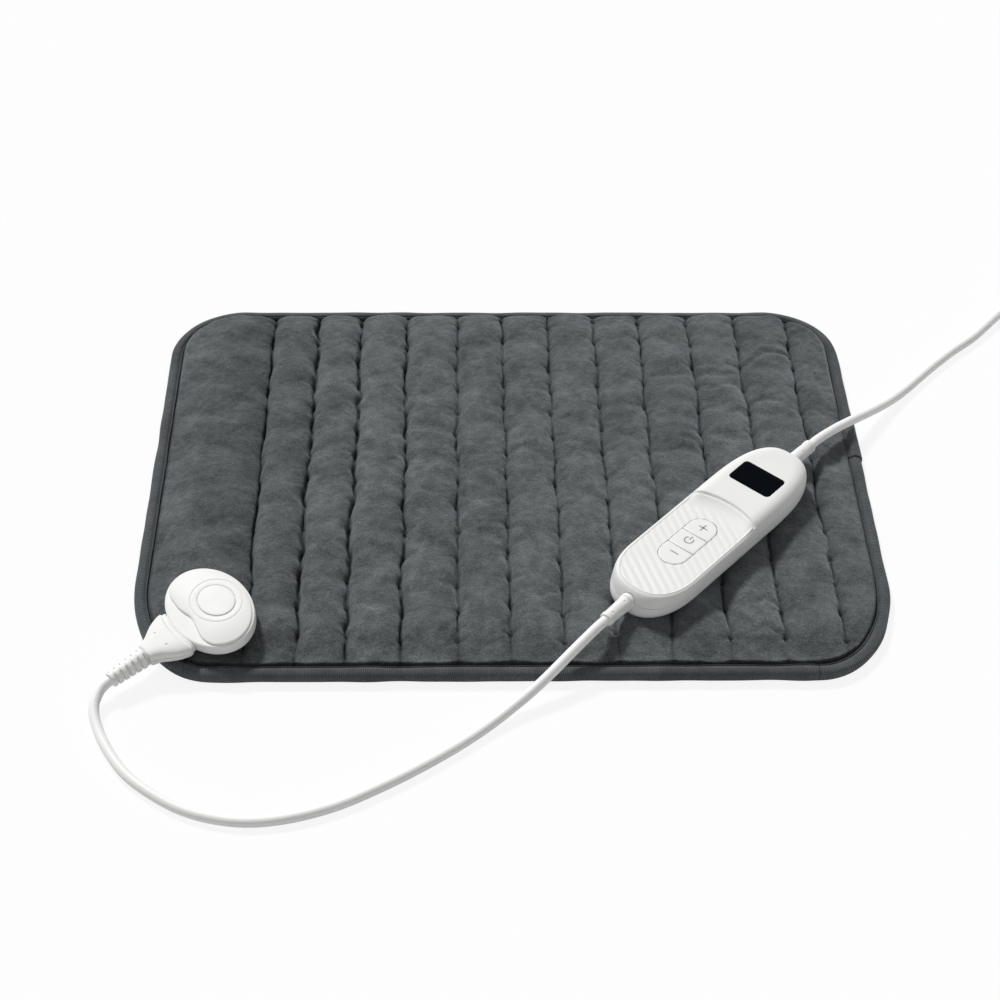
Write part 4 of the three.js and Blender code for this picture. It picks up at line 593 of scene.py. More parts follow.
def channels(x, y, edge):
    """Height of the crowned channels between the seams' floors."""
    side = np.full_like(x, PAD_X)
    lines = [-side, *(seam_line(k, y) for k in range(LAST)), side]
    halves = [-9.0, *(seam_half(k, y) for k in range(LAST)), -9.0]
    floors = [SIDE_FLOOR, *SEAM_FLOOR, SIDE_FLOOR]
    back = smooth((y - 40) / 60)
    e = np.clip((edge - HEM) / (1.9 + 3.3 * back), 0, 1)
    calm = front_calm(y)
    low_end = (1 - smooth((edge - HEM) / 22)) * (5.1 - 3.8 * back)
    lumps = 0.35 * lump(x, y)
    dents = 0.2 * dent(x, y) + 0.07 * fine(x, y)
    height = np.zeros_like(x)
    for k in range(LAST + 1):
        a, b = lines[k] + halves[k], lines[k + 1] - halves[k + 1]
        share = np.clip((x - a) / (b - a), 0, 1)
        near_a, near_b = np.clip(1 - share * 2, 0, 1), np.clip(share * 2 - 1, 0, 1)
        wave = near_a * tack_wave(k - 1, y) + near_b * tack_wave(k, y) + (1 - near_a - near_b)
        power = 5.2 if k == 0 else 3.0 if k == LAST else 2.7 + 0.7 * wave
        edge_fall = (1 - e) ** (2.6 - 0.3 * back) * (0.9 if k == 0 else 1)
        arch = np.maximum(1 - np.abs(2 * share - 1) ** power - edge_fall, 0) ** 0.52
        crown = CROWN + 0.4 * (wave - 0.5) + lumps - low_end
        floor = floors[k] * (1 - share) + floors[k + 1] * share + 0.5 * wave - 0.25
        floor += (crown - floor) * calm * (0.15 if k < 2 else 0.4)
        floor = EDGE_FLOOR + (floor - EDGE_FLOOR) * smooth(e * 1.5)
        made = floor + (crown - floor + dents) * arch
        height = np.where((x >= lines[k]) & (x < lines[k + 1]), made, height)
    return height, lines


def draw_in(height, x, y, edge, lines):
    """The slits along the seams, and the dip and the spokes round each tack."""
    calm = front_calm(y)
    for k in range(LAST):
        off = x - lines[k + 1]
        near = (np.abs(off) < 3) & (edge > 9)
        slit = np.clip(0.5 + 0.6 * slit_depth(SEAMS[k] * 2.9, y[near] + 60 * k), 0, 1)
        slit *= 1 - 0.7 * calm[near] * (k > 3)
        height[near] -= 0.9 * slit * bell(off[near] / 0.5)
        strong = 0.5 + 0.5 * min(k / 4, 1)
        for ty in tack_places(k):
            tx = seam_line(k, ty)
            near = (np.abs(x - tx) < 12) & (np.abs(y - ty) < 12)
            if not near.any():
                continue
            dx, dy = x[near] - tx, y[near] - ty
            dip = 0.9 * bell((np.abs(dx) - TACK_HALF) / 0.6) * bell(dy / 0.8)
            dip += 0.65 * bell(dx / 2.4) * bell(dy / 2)
            spoke = np.cos(5 * np.arctan2(dy, dx) + ty) * bell((np.hypot(dx, dy * 1.2) - 4.5) / 2.6)
            height[near] += 0.16 * spoke - strong * dip


def quilt_height(x, y):
    x, y = np.broadcast_arrays(np.asarray(x, float), np.asarray(y, float))
    shape = x.shape
    x, y = x.ravel(), y.ravel()
    edge = edge_distance(x, y)
    height, lines = channels(x, y, edge)
    draw_in(height, x, y, edge, lines)
    for points, depth, width in WRINKLES:
        off = from_line(x, y, points)
        height += depth * (0.5 * bell((off - width * 2.2) / (width * 1.4)) - bell(off / width))
    return np.clip(np.minimum(height, pressed(x, y)), LEAST_HEIGHT, None).reshape(shape)


def pile_shade(x, y, columns):
    """Painted shade on the pile: 1 on open pile, less in the seams, round a tack's holes and at the edge,
    where shade falls. It also holds each channel's tone and a painted sheen across the channels.
    """
    channel = np.minimum(columns.astype(int), LAST)
    # painted sheen: the left channels are lighter on their left sides and the right channels on their right
    # sides, as the pile's sheen falls
    lean = 1 + 0.22 * (0.5 - (columns - channel)) * np.clip(1 - channel / 6, -0.3, 1)
    shade = (np.array(CHANNEL_TONE)[channel] * lean)[:, None] * np.ones_like(x)
    for k in range(LAST):
        near = np.abs(x - SEAMS[k]) < 14
        off, at = (x - seam_line(k, y))[near], y[near]
        broken = np.clip(0.75 + 0.4 * slit_depth(SEAMS[k] * 2.9, at + 60 * k), 0.25, 1)
        broken *= 1 - 0.5 * front_calm(at) * (k > 3)
        # painted shade in the seam's crease
        painted_shade = 1 - (0.92 if k < 4 else 0.64) * broken * bell(off / (0.8 + 0.3 * (k < 4)))
        painted_shade *= 1 - 0.16 * bell(off / 3.2)
        # painted shade in and round each tack's holes
        r = np.hypot(off, np.min(np.abs(at[:, None] - tack_places(k)), axis=1))
        shade[near] *= painted_shade * (1 - 0.5 * bell(r / 1.1) - 0.12 * bell(r / 4))
    # painted shade along the edge, by the binding
    return shade * (0.25 + 0.75 * smooth((edge_distance(x, y) - 7.4) / 2))


def pad_grid(inset, rows, xs):
    """Points on the columns xs, from the front edge to the back one and denser towards both."""
    s = np.linspace(0, 1, rows)
    s = 0.55 * s + 0.45 * (1 - np.cos(pi * s)) / 2
    ends = []
    for (rx, ry), sign in ((FRONT, -1), (BACK, 1)):
        beyond = np.clip((np.abs(xs) - (PAD_X - rx)) / (rx - inset), 0, 1)
        ends.append(sign * (PAD_Y - ry + (ry - inset) * np.sqrt(1 - beyond ** 2))[:, None])
    return np.repeat(xs[:, None], rows, 1), ends[0] + (ends[1] - ends[0]) * s


def quilt_grid(rows, counts, crowd):
    """Columns that follow the seams, drawn together beside each by the share crowd."""
    stops = [-PAD_X + HEM, *SEAMS, PAD_X - HEM]
    xs, cells = [], []
    for k in range(LAST + 1):
        count = counts[0] if k == 0 else counts[2] if k == LAST else counts[1]
        t = np.linspace(0, 1, count, endpoint=False)
        u = (1 - crowd) * t + crowd * (1 - np.cos(pi * t)) / 2
        xs += list(stops[k] + (stops[k + 1] - stops[k]) * u)
        cells += [(k, v) for v in u]
    xs.append(stops[-1])
    cells.append((LAST, 1.0))
    x, y = pad_grid(HEM, rows, np.array(xs))
    for i, (k, u) in enumerate(cells):
        shift_a = seam_line(k - 1, y[i]) - SEAMS[k - 1] if k > 0 else 0
        shift_b = seam_line(k, y[i]) - SEAMS[k] if k < LAST else 0
        x[i] += shift_a * (1 - u) + shift_b * u
    return x, y, np.array([k + u for k, u in cells])


def grid_faces(nx, ny, start=0):
    i, j = np.meshgrid(np.arange(nx - 1), np.arange(ny - 1), indexing="ij")
    a = start + i * ny + j
    return np.stack([a, a + ny, a + ny + 1, a + 1], -1).reshape(-1, 4).tolist()


def two_layers(name, x, y, first, second, up, *nodes):
    """A closed body of two cloth layers on one grid. The first faces up, or down if up is False."""
    nx, ny = x.shape
    n = nx * ny
    points = np.concatenate([np.stack([x, y, z], -1).reshape(-1, 3) for z in (first, second)])
    faces = []
    for start, plain in ((0, up), (n, not up)):
        layer = grid_faces(nx, ny, start)
        faces += layer if plain else [f[::-1] for f in layer]
    index = np.arange(n).reshape(nx, ny)
    rim = [*index[:, 0], *index[-1, 1:], *index[-2::-1, -1], *index[0, -2:0:-1]]
    for a, b in zip(rim, rim[1:] + rim[:1]):
        a, b = (b, a) if up else (a, b)
        faces.append((a, b, b + n, a + n))
    return put(name, points, faces, plush, *nodes, crease=None)


def store(obj, name, values):
    """One number a point, for a material to read."""
    made = obj.data.attributes.new(name, "FLOAT", "POINT")
    made.data.foreach_set("value", np.asarray(values, np.float32))


# The quilted top with its wadding, one padded body, swelled by a cloth simulation.
ROWS, COARSE_ROWS, FRAMES, SWELL_CAP = 290, 118, 20, 1.6
SWELL_ACROSS, SWELL_UP = 0.4, 0.55  # the share of the swelling that is kept
CLOTH = {
    "quality": 6, "mass": 0.15, "tension_stiffness": 12, "compression_stiffness": 6,
    "shear_stiffness": 4, "bending_stiffness": 25, "shrink_min": -0.008, "use_pressure": True,
    "uniform_pressure_force": 4, "vertex_group_mass": "held",
}


def cubic(at, knots, values):
    """Smooth values between knots, along the first axis."""
    slope = np.gradient(values, knots, axis=0)
    i = np.clip(np.searchsorted(knots, at) - 1, 0, len(knots) - 2)
    gap = (knots[i + 1] - knots[i])[:, None]
    t = (at - knots[i])[:, None] / gap
    return (
        (2 * t ** 3 - 3 * t ** 2 + 1) * values[i] + (3 * t ** 2 - 2 * t ** 3) * values[i + 1]
        + ((t ** 3 - 2 * t ** 2 + t) * slope[i] + (t ** 3 - t ** 2) * slope[i + 1]) * gap
    )


def swell(columns):
    """How the wadding blows the cloth out between its sewn lines, along X, Y and Z."""
    x, y, coarse = quilt_grid(COARSE_ROWS, (24, 11, 12), 0)
    z = quilt_height(x, y)
    start = np.stack([x, y, z], -1)
    count = len(x)
    cloth = put("swell", start, grid_faces(count, COARSE_ROWS), None, body=None, crease=None)
    i, j = np.meshgrid(np.arange(count), np.arange(COARSE_ROWS), indexing="ij")
    fixed = np.isclose(coarse % 1, 0)[i] | (j < 1) | (j > COARSE_ROWS - 2) | (i == 0) | (i == count - 1)
    fixed |= pressed(x, y) < z + 1.5
    cloth.vertex_groups.new(name="held").add(np.flatnonzero(fixed.ravel()).tolist(), 1.0, "REPLACE")
    settings = cloth.modifiers.new("cloth", "CLOTH").settings
    for key, value in CLOTH.items():
        setattr(settings, key, value)
    settings.effector_weights.gravity = 0
    for f in range(1, FRAMES + 1):
        scene.frame_set(f)
    bpy.context.view_layer.update()
    shown = cloth.evaluated_get(bpy.context.evaluated_depsgraph_get()).to_mesh()
    end = np.empty(start.size)
    shown.vertices.foreach_get("co", end)
    move = end.reshape(start.shape) / MM - start
    bpy.data.objects.remove(cloth)
    scene.frame_set(1)
    size = np.linalg.norm(move, axis=-1, keepdims=True)
    move *= np.minimum(SWELL_CAP / np.maximum(size, 1e-6), 1)
    fine_rows, coarse_rows = np.linspace(0, 1, ROWS), np.linspace(0, 1, COARSE_ROWS)
    for axis in range(3):
        yield cubic(fine_rows, coarse_rows, cubic(columns, coarse, move[..., axis]).T).T


flat_x, flat_y, columns = quilt_grid(ROWS, (72, 28, 40), 0.7)
top_x, top_y, top_z = flat_x, flat_y, quilt_height(flat_x, flat_y)
move_x, move_y, move_z = swell(columns)
ease = smooth((edge_distance(flat_x, flat_y) - HEM) / 7)
beside = smooth(np.abs((columns % 1 + 0.5) % 1 - 0.5)[:, None] / 0.12)
top_x = flat_x + SWELL_ACROSS * move_x * ease * beside
top_y = flat_y + SWELL_ACROSS * move_y * ease * beside
top_z = top_z + SWELL_UP * move_z * ease
inner_z = np.minimum(top_z - 1.2, 5.0)
quilt = two_layers("quilt_top", top_x, top_y, top_z, inner_z, True, "top_cover", "upper_padding")
shade = pile_shade(flat_x, flat_y, columns)
store(quilt, "shade", np.concatenate([shade.ravel(), np.ones(shade.size)]))

# The underside cloth, pulled in slightly along the same seams. It ends inside the binding's fold.
FOLD, UNDER_ROWS = 4.4, 120
turn_in = PAD_X - FOLD - 45 * (1 - np.cos(np.linspace(0, pi / 2, 56)))
turn_in = turn_in[turn_in > 150]
under_columns = np.unique(np.round(np.concatenate([-turn_in, np.linspace(-150, 150, 160), turn_in]), 4))
low_x, low_y = pad_grid(FOLD, UNDER_ROWS, under_columns)
low_edge = edge_distance(low_x, low_y)
groove = np.max([bell((low_x - seam_line(k, low_y)) / 1.6) for k in range(LAST)], axis=0)
groove *= smooth((low_edge - 14) / 8)
low_z = 0.75 * groove + 2.3 * (1 - smooth((low_edge - 7.6) / 4.6)) + 0.02
underside = two_layers(
    "underside_cloth", low_x, low_y, low_z, np.maximum(low_z + 0.9, 2.0), False,
    "bottom_cover", "carrier_felt",
)
store(underside, "shade", np.ones(2 * low_x.size))

# Tack stitches: each one goes down through two small holes beside the seam.
STITCH, SIDES = ((0.22, -1.2), (0.42, -0.5), (0.45, 0.0), (0.36, 0.2), (0.16, 0.3)), 8
tack_points, tack_faces = [], []
for k in range(LAST):
    for ty in tack_places(k):
        tx = seam_line(k, ty)
        if edge_distance(tx, ty) < 12 or pressed(tx, ty) < 14:
            continue
        for side in (-1, 1):
            x, y = tx + side * TACK_HALF, ty + rng.normal(0, 0.25)
            z = quilt_height(x, y)
            start = len(tack_points)
            tack_points += [
                (x + r * cos(a), y + r * sin(a), z + high)
                for r, high in STITCH for a in round_angles(SIDES)
            ]
            tack_faces += loft_faces(len(STITCH), SIDES, start=start)
            tack_faces.append(range(start, start + SIDES)[::-1])
            tack_faces.append(range(len(tack_points) - SIDES, len(tack_points)))
put("tack_stitches", tack_points, tack_faces, thread)

# The binding: a folded tape round the edge. Its section lists (inset, height).
BINDING = [
    (7.0, 2.6), (7.0, 5.2), (7.0, 5.9), (6.9, 6.5), (6.65, 6.85), (6.35, 6.75), (6.15, 6.3), (5.9, 6.1),
    (5.65, 6.3), (5.4, 6.9), (4.9, 7.35), (4.2, 7.55), (3.4, 7.5), (2.5, 7.3), (1.5, 6.9), (0.7, 6.2),
    (0.2, 5.2), (0.0, 4.2), (0.0, 3.3), (0.2, 2.3), (0.7, 1.4), (1.5, 0.6), (2.5, 0.2), (3.5, 0.03),
    (4.6, 0.03), (5.6, 0.1), (6.5, 0.5), (6.9, 1.2), (7.0, 1.9), (6.6, 2.1), (4.3, 2.1), (4.1, 2.4),
    (4.1, 4.9), (4.4, 5.0),
]
TAPE_MIDDLE, TAPE_STEP = (3.5, 3.75), 1.2
FLAP_START, FLAP_LENGTH, FLAP_GROW, FLAP_FADE = 181.0, 46, 0.95, 20
ripple = field(26, 9, 8)


def outline_points(inset, step, steps=90):
    """The pad's outline, anticlockwise from the front right corner, evenly spaced."""
    p = []
    for sx, sy, (rx, ry), start in (
        (1, -1, FRONT, -90), (1, 1, BACK, 0), (-1, 1, BACK, 90), (-1, -1, FRONT, 180),
    ):
        for i in range(steps + 1):
            a = radians(start + 90 * i / steps)
            x = sx * (PAD_X - rx) + (rx - inset) * cos(a)
            p.append((x, sy * (PAD_Y - ry) + (ry - inset) * sin(a)))
    p = np.array([*p, p[0]])
    run = run_along(p)
    s = np.linspace(0, run[-1], round(run[-1] / step), endpoint=False)
    return place_at(s, run, p), s


def binding_rings(grow, first=0, last=inf):
    """Sections of the tape, grown and lightly rippled, and how far along the edge each lies."""
    base, run = outline_points(TAPE_MIDDLE[0], TAPE_STEP)
    ahead = np.roll(base, -1, 0) - np.roll(base, 1, 0)
    ahead /= np.linalg.norm(ahead, axis=1)[:, None]
    chosen = (run >= first) & (run <= last)
    rings = []
    for p, (ax, ay), s in zip(base[chosen], ahead[chosen], run[chosen]):
        wave = ripple(s, 0)
        ring = []
        for inset, z in BINDING:
            dx, dz = TAPE_MIDDLE[0] - inset, z - TAPE_MIDDLE[1]
            scale = 1 + (grow + 0.12 * wave * (dx > 0 or z > 5.5)) / hypot(dx, dz)
            x, y = p + np.array((ay, -ax)) * dx * scale
            ring.append((x, y, max(TAPE_MIDDLE[1] + dz * scale, 0.02)))
        rings.append(ring)
    return np.array(rings), run[chosen]


def tape_piece(name, rings, run, *nodes, row_closed=False):
    """A piece of tape that stores how far along it each point lies, for the weave."""
    made = loft(name, rings, tape, *nodes, row_closed=row_closed, crease=50)
    values = np.repeat(run, rings.shape[1])
    spare = len(made.data.vertices) - len(values)
    store(made, "along", np.concatenate([values, np.full(spare, values[-1])]))


tape_piece("binding_tape", *binding_rings(0), "edge_binding", row_closed=True)

# The tape's end, folded under and laid over its start on the right edge.
flap_rings, flap_run = binding_rings(FLAP_GROW, FLAP_START, FLAP_START + FLAP_LENGTH)
base_rings, _ = binding_rings(0.04, FLAP_START, FLAP_START + FLAP_LENGTH)
lift = np.clip((flap_run - flap_run[0]) / TAPE_STEP, 0, 1)
fade = 1 - smooth((flap_run - flap_run[-1] + FLAP_FADE) / FLAP_FADE)
share = ((0.75 + 0.25 * np.sqrt(lift)) * fade)[:, None, None]
tape_piece("binding_overlap", base_rings + (flap_rings - base_rings) * share, flap_run)

# socket, in its own frame
SOCKET_OFFSET, SOCKET_SKEW = -1.7, radians(-7)
DISC_X, DISC_HALVES = -6.4, (9.2, 11.0)
SKEW_COS, SKEW_SIN = cos(SOCKET_SKEW), sin(SOCKET_SKEW)
OUTLINE_POINTS = 160


def egg(inset, count=OUTLINE_POINTS):
    a = round_angles(count)
    x, y = (SOCKET_SHORT / 2 - inset) * np.cos(a), (SOCKET_LONG / 2 - inset) * np.sin(a)
    return np.stack([SOCKET_OFFSET + x * SKEW_COS - y * SKEW_SIN, x * SKEW_SIN + y * SKEW_COS], 1)


def oval(grow):
    a = round_angles(OUTLINE_POINTS)
    return np.stack([DISC_X + (DISC_HALVES[0] + grow) * np.cos(a), (DISC_HALVES[1] + grow) * np.sin(a)], 1)


def cover_edge(inset):
    """The cover's outline, cut off by a curve on the plug's side, seen from the disc's middle."""
    a = round_angles(OUTLINE_POINTS)
    ca, sa = np.cos(a), np.sin(a)

    def inside(r):
        x, y = DISC_X + r * ca, r * sa
        dx = x - SOCKET_OFFSET
        u, v = dx * SKEW_COS + y * SKEW_SIN, -dx * SKEW_SIN + y * SKEW_COS
        to_egg = (1 - np.hypot(u / (SOCKET_SHORT / 2 - inset), v / (SOCKET_LONG / 2 - inset))) * 24
        share = y / (SOCKET_LONG / 2)
        curve = 11.2 + 3.4 * share * np.abs(share) - 1.4 * bell((y + 1) / 5) + 1.6 * bell((y - 14) / 7)
        to_curve = curve - (inset - 1.0) - x
        return np.exp(-to_egg / 1.1) + np.exp(-to_curve / 1.1) < 1

    r = halve(np.zeros(len(a)), np.full(len(a), 45.0), 40, inside)
    return np.stack([DISC_X + r * ca, r * sa], 1)


loft("socket_lower_shell", levels(egg, [
    (2.2, 2.2), (0.9, 2.2), (0.45, 2.3), (0.15, 2.6), (0, 3.1), (0, 7.2), (0.12, 7.65), (0.4, 8.0),
    (0.85, 8.18), (1.5, 8.2), (7, 8.2),
]), white, "socket_housing", at=SOCKET, crease=50)
loft("socket_top_cover", [
    *levels(cover_edge, [(1.3, 8.22), (1.3, 8.6), (1.42, 8.95), (1.7, 9.2), (2.1, 9.36)]),
    *levels(oval, [
        (4.7, 9.44), (4.45, 9.46), (4.3, 9.43), (4.15, 9.34), (4.05, 9.28), (3.9, 9.28), (3.8, 9.34),
        (3.65, 9.43), (3.5, 9.48), (2.5, 9.5), (0.7, 9.5), (0.45, 9.46), (0.25, 9.36), (0.16, 9.1),
    ]),
], white, "socket_cover", at=SOCKET, crease=60)
loft("socket_centre_disc", levels(oval, [
    (-1, 9.2), (-0.05, 9.2), (0, 9.4), (-0.08, 9.62), (-0.35, 9.76), (-1, 9.8), (-4, 9.84), (-8, 9.85),
]), white, "socket_disc", at=SOCKET, crease=60)

# plug
EGG = egg(0, 720)
EGG_SIDE = EGG[EGG[:, 0] > SOCKET_OFFSET]
EGG_SIDE = EGG_SIDE[np.argsort(EGG_SIDE[:, 1])]
# The plug's half width along it, from its mouth (0) to the cord's end (1).
PLUG_WIDTH = [
    (0, 14.3), (0.05, 14.5), (0.09, 14.7), (0.12, 15.3), (0.18, 15.4), (0.3, 14.5), (0.45, 12.7),
    (0.6, 10.2), (0.72, 8.2), (0.84, 6.7), (0.93, 6.1), (0.97, 5.8), (1, 5.2),
]
PLUG_END, PLUG_LENGTH, PLUG_GAP, PLUG_STEPS = 39.5, 20, 0.6, 150
PLUG_RISE, PLUG_DROP, PLUG_SQUARE = 4.4, 4.55, 3.1  # above and below the parting line, squareness
PARTING_TOP, PARTING_LOW = 5.02, 4.78
STATIONS = np.unique(np.concatenate([
    np.linspace(0, 0.2, 18), np.linspace(0.2, 0.93, 80), 1 - 0.07 * np.cos(np.linspace(0, 1.57, 8)),
]))
# Small pits that the mould's holding pins leave.
MARK_DEPTH, MARK_RADIUS = 0.5, 0.5
PLUG_MARK_X, PLUG_MARK_Y = 28.8, 5.2


def pin_mark(distance):
    return MARK_DEPTH * np.exp(-(distance / MARK_RADIUS) ** 4)


def plug_half(upper):
    """Half of the plug as cross-sections along it, above or below its parting line."""
    line = catmull([(s * PLUG_LENGTH, w, 0) for s, w in PLUG_WIDTH], 0.1)
    widths = np.interp(STATIONS * PLUG_LENGTH, line[:, 0], line[:, 1])
    neck = 1 - smooth((STATIONS - 0.08) / 0.05)
    end = np.clip((STATIONS - 0.94) / 0.06, 0, 1)
    rise = PLUG_RISE - 0.9 * neck - (1 - np.sqrt(1 - end ** 2))
    a = np.linspace(0, pi, PLUG_STEPS)
    round_y = np.sign(np.cos(a)) * np.abs(np.cos(a)) ** (2 / PLUG_SQUARE)
    round_z = np.sin(a) ** (2 / PLUG_SQUARE)
    rings = []
    for s, w, h in zip(STATIONS, widths, rise):
        y = np.concatenate([[w - 0.5, w - 0.12], w * round_y, [0.12 - w, 0.5 - w]])
        z = np.concatenate([[0, 0.05], h * round_z + 0.18, [0.05, 0]])
        z = PARTING_TOP + z if upper else PARTING_LOW - z * PLUG_DROP / PLUG_RISE
        mouth = np.interp(y, EGG_SIDE[:, 1], EGG_SIDE[:, 0]) + PLUG_GAP
        x = (1 - s) * mouth + s * PLUG_END
        if upper:
            z = z - pin_mark(np.hypot(x - PLUG_MARK_X, np.abs(y) - PLUG_MARK_Y))
        rings.append(np.stack([x, y, np.maximum(z, 0.02)], 1))
    return rings


for name in ("lower", "upper"):
    half = plug_half(name == "upper")
    loft(f"plug_{name}_half", half, white, f"plug_{name}_shell", body="plug", at=SOCKET, crease=45)

# The plug's strain relief, whose slots open on its two sides in turn.
RELIEF_START, RELIEF_LENGTH, RELIEF_ROOT, RELIEF_TIP, RELIEF_RIBS = 39.8, 21.2, 5.4, 4.2, 6
RELIEF_SIDES, SLOT_DEPTH, SLOT_FLOOR = 72, 2.3, 2.95


def slotted_rings():
    a = round_angles(RELIEF_SIDES)
    side = smooth((np.abs(np.cos(a)) - 0.3) / 0.25)
    phase = np.where(np.cos(a) > 0, 0.25, 0.75)
    rings = []
    for t in np.linspace(0, RELIEF_LENGTH, 22 * RELIEF_RIBS + 1):
        left = RELIEF_LENGTH - t
        outer = RELIEF_ROOT + (RELIEF_TIP - RELIEF_ROOT) * t / RELIEF_LENGTH
        place = (t / RELIEF_LENGTH * RELIEF_RIBS - phase + 0.5) % 1 - 0.5
        slot = np.exp(-(np.abs(place) / 0.15) ** 6) * side
        ends = smooth(t / 1.2) * smooth(left / 1.2)
        r = np.maximum(outer - SLOT_DEPTH * slot * ends, np.minimum(outer, SLOT_FLOOR))
        r = r - 0.25 * bell(place / 0.1) * (1 - side) * ends
        r = r - 0.5 * (bell(t / 0.25) + bell(left / 0.25))
        x = np.full(RELIEF_SIDES, RELIEF_START + t)
        rings.append(np.stack([x, r * np.cos(a), PLUG_CORD + r * np.sin(a)], 1))
    return rings


relief = loft(
    "plug_relief_sleeve", slotted_rings(), cord_cover, "plug_strain_relief", body="plug", at=SOCKET,
    crease=60,
)

# controller, in its own frame
LENGTH, WIDTH = 148.4, 44.9
RIDGE, SWEEP, SWEEP_HALF = 15.21, 6.5, 24.45  # the ridge between the faces, and its curve
KEY_REACH, KEY_POWER, DISPLAY_REACH, DISPLAY_POWER = 33.4, 2.35, 48.1, 2.7
KEYS_X, DISPLAY_X = -20.776, 40.513
RIM_LOW, RIM_HIGH, FACE, DOME_TOP = 7.45, 7.75, 14.2, 17.5
LEAN, UPRIGHT = 0.44, 0.9


def case_outline(inset, key_inset, ends=44):
    """The case's outline with dense points where the face meets the ridge. Half the ring is y > 0."""
    half = WIDTH / 2 - inset
    a = np.linspace(0, pi / 2, ends)

    def quarter(reach, power, end_inset):
        x = LENGTH / 2 - reach + (reach - end_inset) * np.cos(a) ** (2 / power)
        return np.stack([x, half * np.sin(a) ** (2 / power)], 1)

    straight = np.concatenate([
        np.linspace(LENGTH / 2 - DISPLAY_REACH, 16.5, 12)[1:-1], np.linspace(16.5, 1.5, 46),
        np.linspace(1.5, -(LENGTH / 2 - KEY_REACH), 52)[1:-1],
    ])
    upper = np.concatenate([
        quarter(DISPLAY_REACH, DISPLAY_POWER, inset), np.stack([straight, np.full(len(straight), half)], 1),
        quarter(KEY_REACH, KEY_POWER, key_inset)[::-1] * (-1, 1),
    ])
    return np.concatenate([upper, (upper[1:-1] * (1, -1))[::-1]])


def profile_curve(points, count):
    """Even samples along a smooth curve through the section's points (inset, z)."""
    line = catmull([(i, z, 0) for i, z in points], 0.15)
    run = run_along(line)
    return place_at(np.linspace(0, run[-1], count), run, line)


def lean(z):
    return LEAN * np.maximum(z - UPRIGHT, 0)


TUCK = [(4.6, 0), (3.1, 0.35), (1.886, 1.296), (0.598, 3.024), (0.12, 4.4), (0, 5.4)]
loft("controller_bottom", [level(case_outline(i, i + lean(z)), z) for i, z in (
    (16, 0), (10, 0), (6.5, 0), *profile_curve(TUCK, 16), (0, 6.6), (0.02, 7.1), (0.12, 7.35),
    (0.3, RIM_LOW), (1.98, RIM_LOW), (2, 7.2), (2, 4.4), (2.7, 4.2), (6.6, 2), (12, 2),
)], white, "controller_bottom_shell", at=CONTROLLER, crease=50)

# Sections of the key end and of the display end, as (inset, height).
WALL, INNER_STEPS, MIDDLE = 26, 62, 22.2
KEY_EDGE = profile_curve([
    (0, RIM_HIGH), (0.03, 9.6), (0.198, 11.6), (0.45, 12.75), (0.85, 13.6), (1.3, 14.0), (1.9, FACE),
], WALL)
DOME = profile_curve([
    (0, RIM_HIGH), (0, 10.1), (0.25, 11.9), (0.8, 13.6), (1.885, 15.2), (3.7, 16.62), (6.0, 17.35),
    (8.4, DOME_TOP), (9.6, DOME_TOP),
], 500)
DOME_EDGE = DOME[np.linspace(0, np.searchsorted(DOME[:, 0], 1.9), WALL).astype(int)]
ROOF = 12.2
UNDER_EDGE = np.stack([np.linspace(2, 4.2, 6), np.linspace(RIM_HIGH, ROOF, 6)], 1)
UNDER_DOME_EDGE = np.array([(2, RIM_HIGH), (2, 9), (2.4, 10), (2.8, 11), (3.5, 12.2), (4.2, 13.4)])
UNDER_DOME = np.array([(4.2, 13.4), (6.2, 14.8), (8.5, 15.2)])
RIB_ANGLE, RIB_PITCH, RIB_HEIGHT = radians(59), 4.3, 0.36


def ramp_share(d):
    """0 on the key face, 1 on the dome, with a concave sweep and a crease at the ridge, d = 0."""
    rise = np.clip((d + 13) / 12.4, 0, 1) ** 2.5 * 0.9
    return np.where(d < -0.6, rise, 0.9 + 0.1 * smooth((d + 0.6) / 1.6))


def sweep(y):
    return SWEEP * (y / SWEEP_HALF) ** 2


def face_detail(x, y, inset):
    """Bead round the ribbed face, the ribs inside it, and the soft crease of the ridge."""
    d = x - RIDGE + sweep(y)
    bead = 0.42 * bell((inset - 2.35) / 0.5) * smooth((-d - 0.2) / 1.6)
    across = (x - KEYS_X) * sin(RIB_ANGLE) - y * cos(RIB_ANGLE)
    tooth = 1 - np.abs(((across / RIB_PITCH) % 1) - 0.5) * 2
    rib = RIB_HEIGHT * tooth * smooth((inset - 2.9) / 0.5) * smooth((-d - 7) / 6)
    return bead + rib - 1.3 * bell((d + 0.1) / 0.7)


def cap_rings(key_edge, dome_edge, key_top, dome, detail):
    """Rings of the top shell from its rim to its middle; dome is the display end's section."""
    inward = key_edge[-1, 0] + (MIDDLE - key_edge[-1, 0]) * np.arange(1, INNER_STEPS + 1) / INNER_STEPS
    steps = [(*key, *shown) for key, shown in zip(key_edge, dome_edge)]
    steps += [(i, key_top, i, np.interp(i, dome[:, 0], dome[:, 1])) for i in inward]
    rings = []
    for t, (ki, kz, di, dz) in enumerate(steps):
        key = case_outline(ki, ki + lean(min(kz, FACE)))
        shown = case_outline(di, di)
        near = bell(np.maximum(np.abs(key[:, 0] - 9) - 7.5, 0) / 8)
        shift = -sweep(key[:, 1]) * near
        w = ramp_share(key[:, 0] + shift - RIDGE + sweep(key[:, 1]))
        x, y = key[:, 0] * (1 - w) + shown[:, 0] * w + shift, key[:, 1] * (1 - w) + shown[:, 1] * w
        z = kz * (1 - w) + dz * w if t else np.full(len(x), RIM_HIGH)
        if detail:
            z = z + face_detail(x, y, ki) * smooth((ki - 1.6) / 0.6)
        rings.append(np.column_stack([x, y, z]))
    return rings


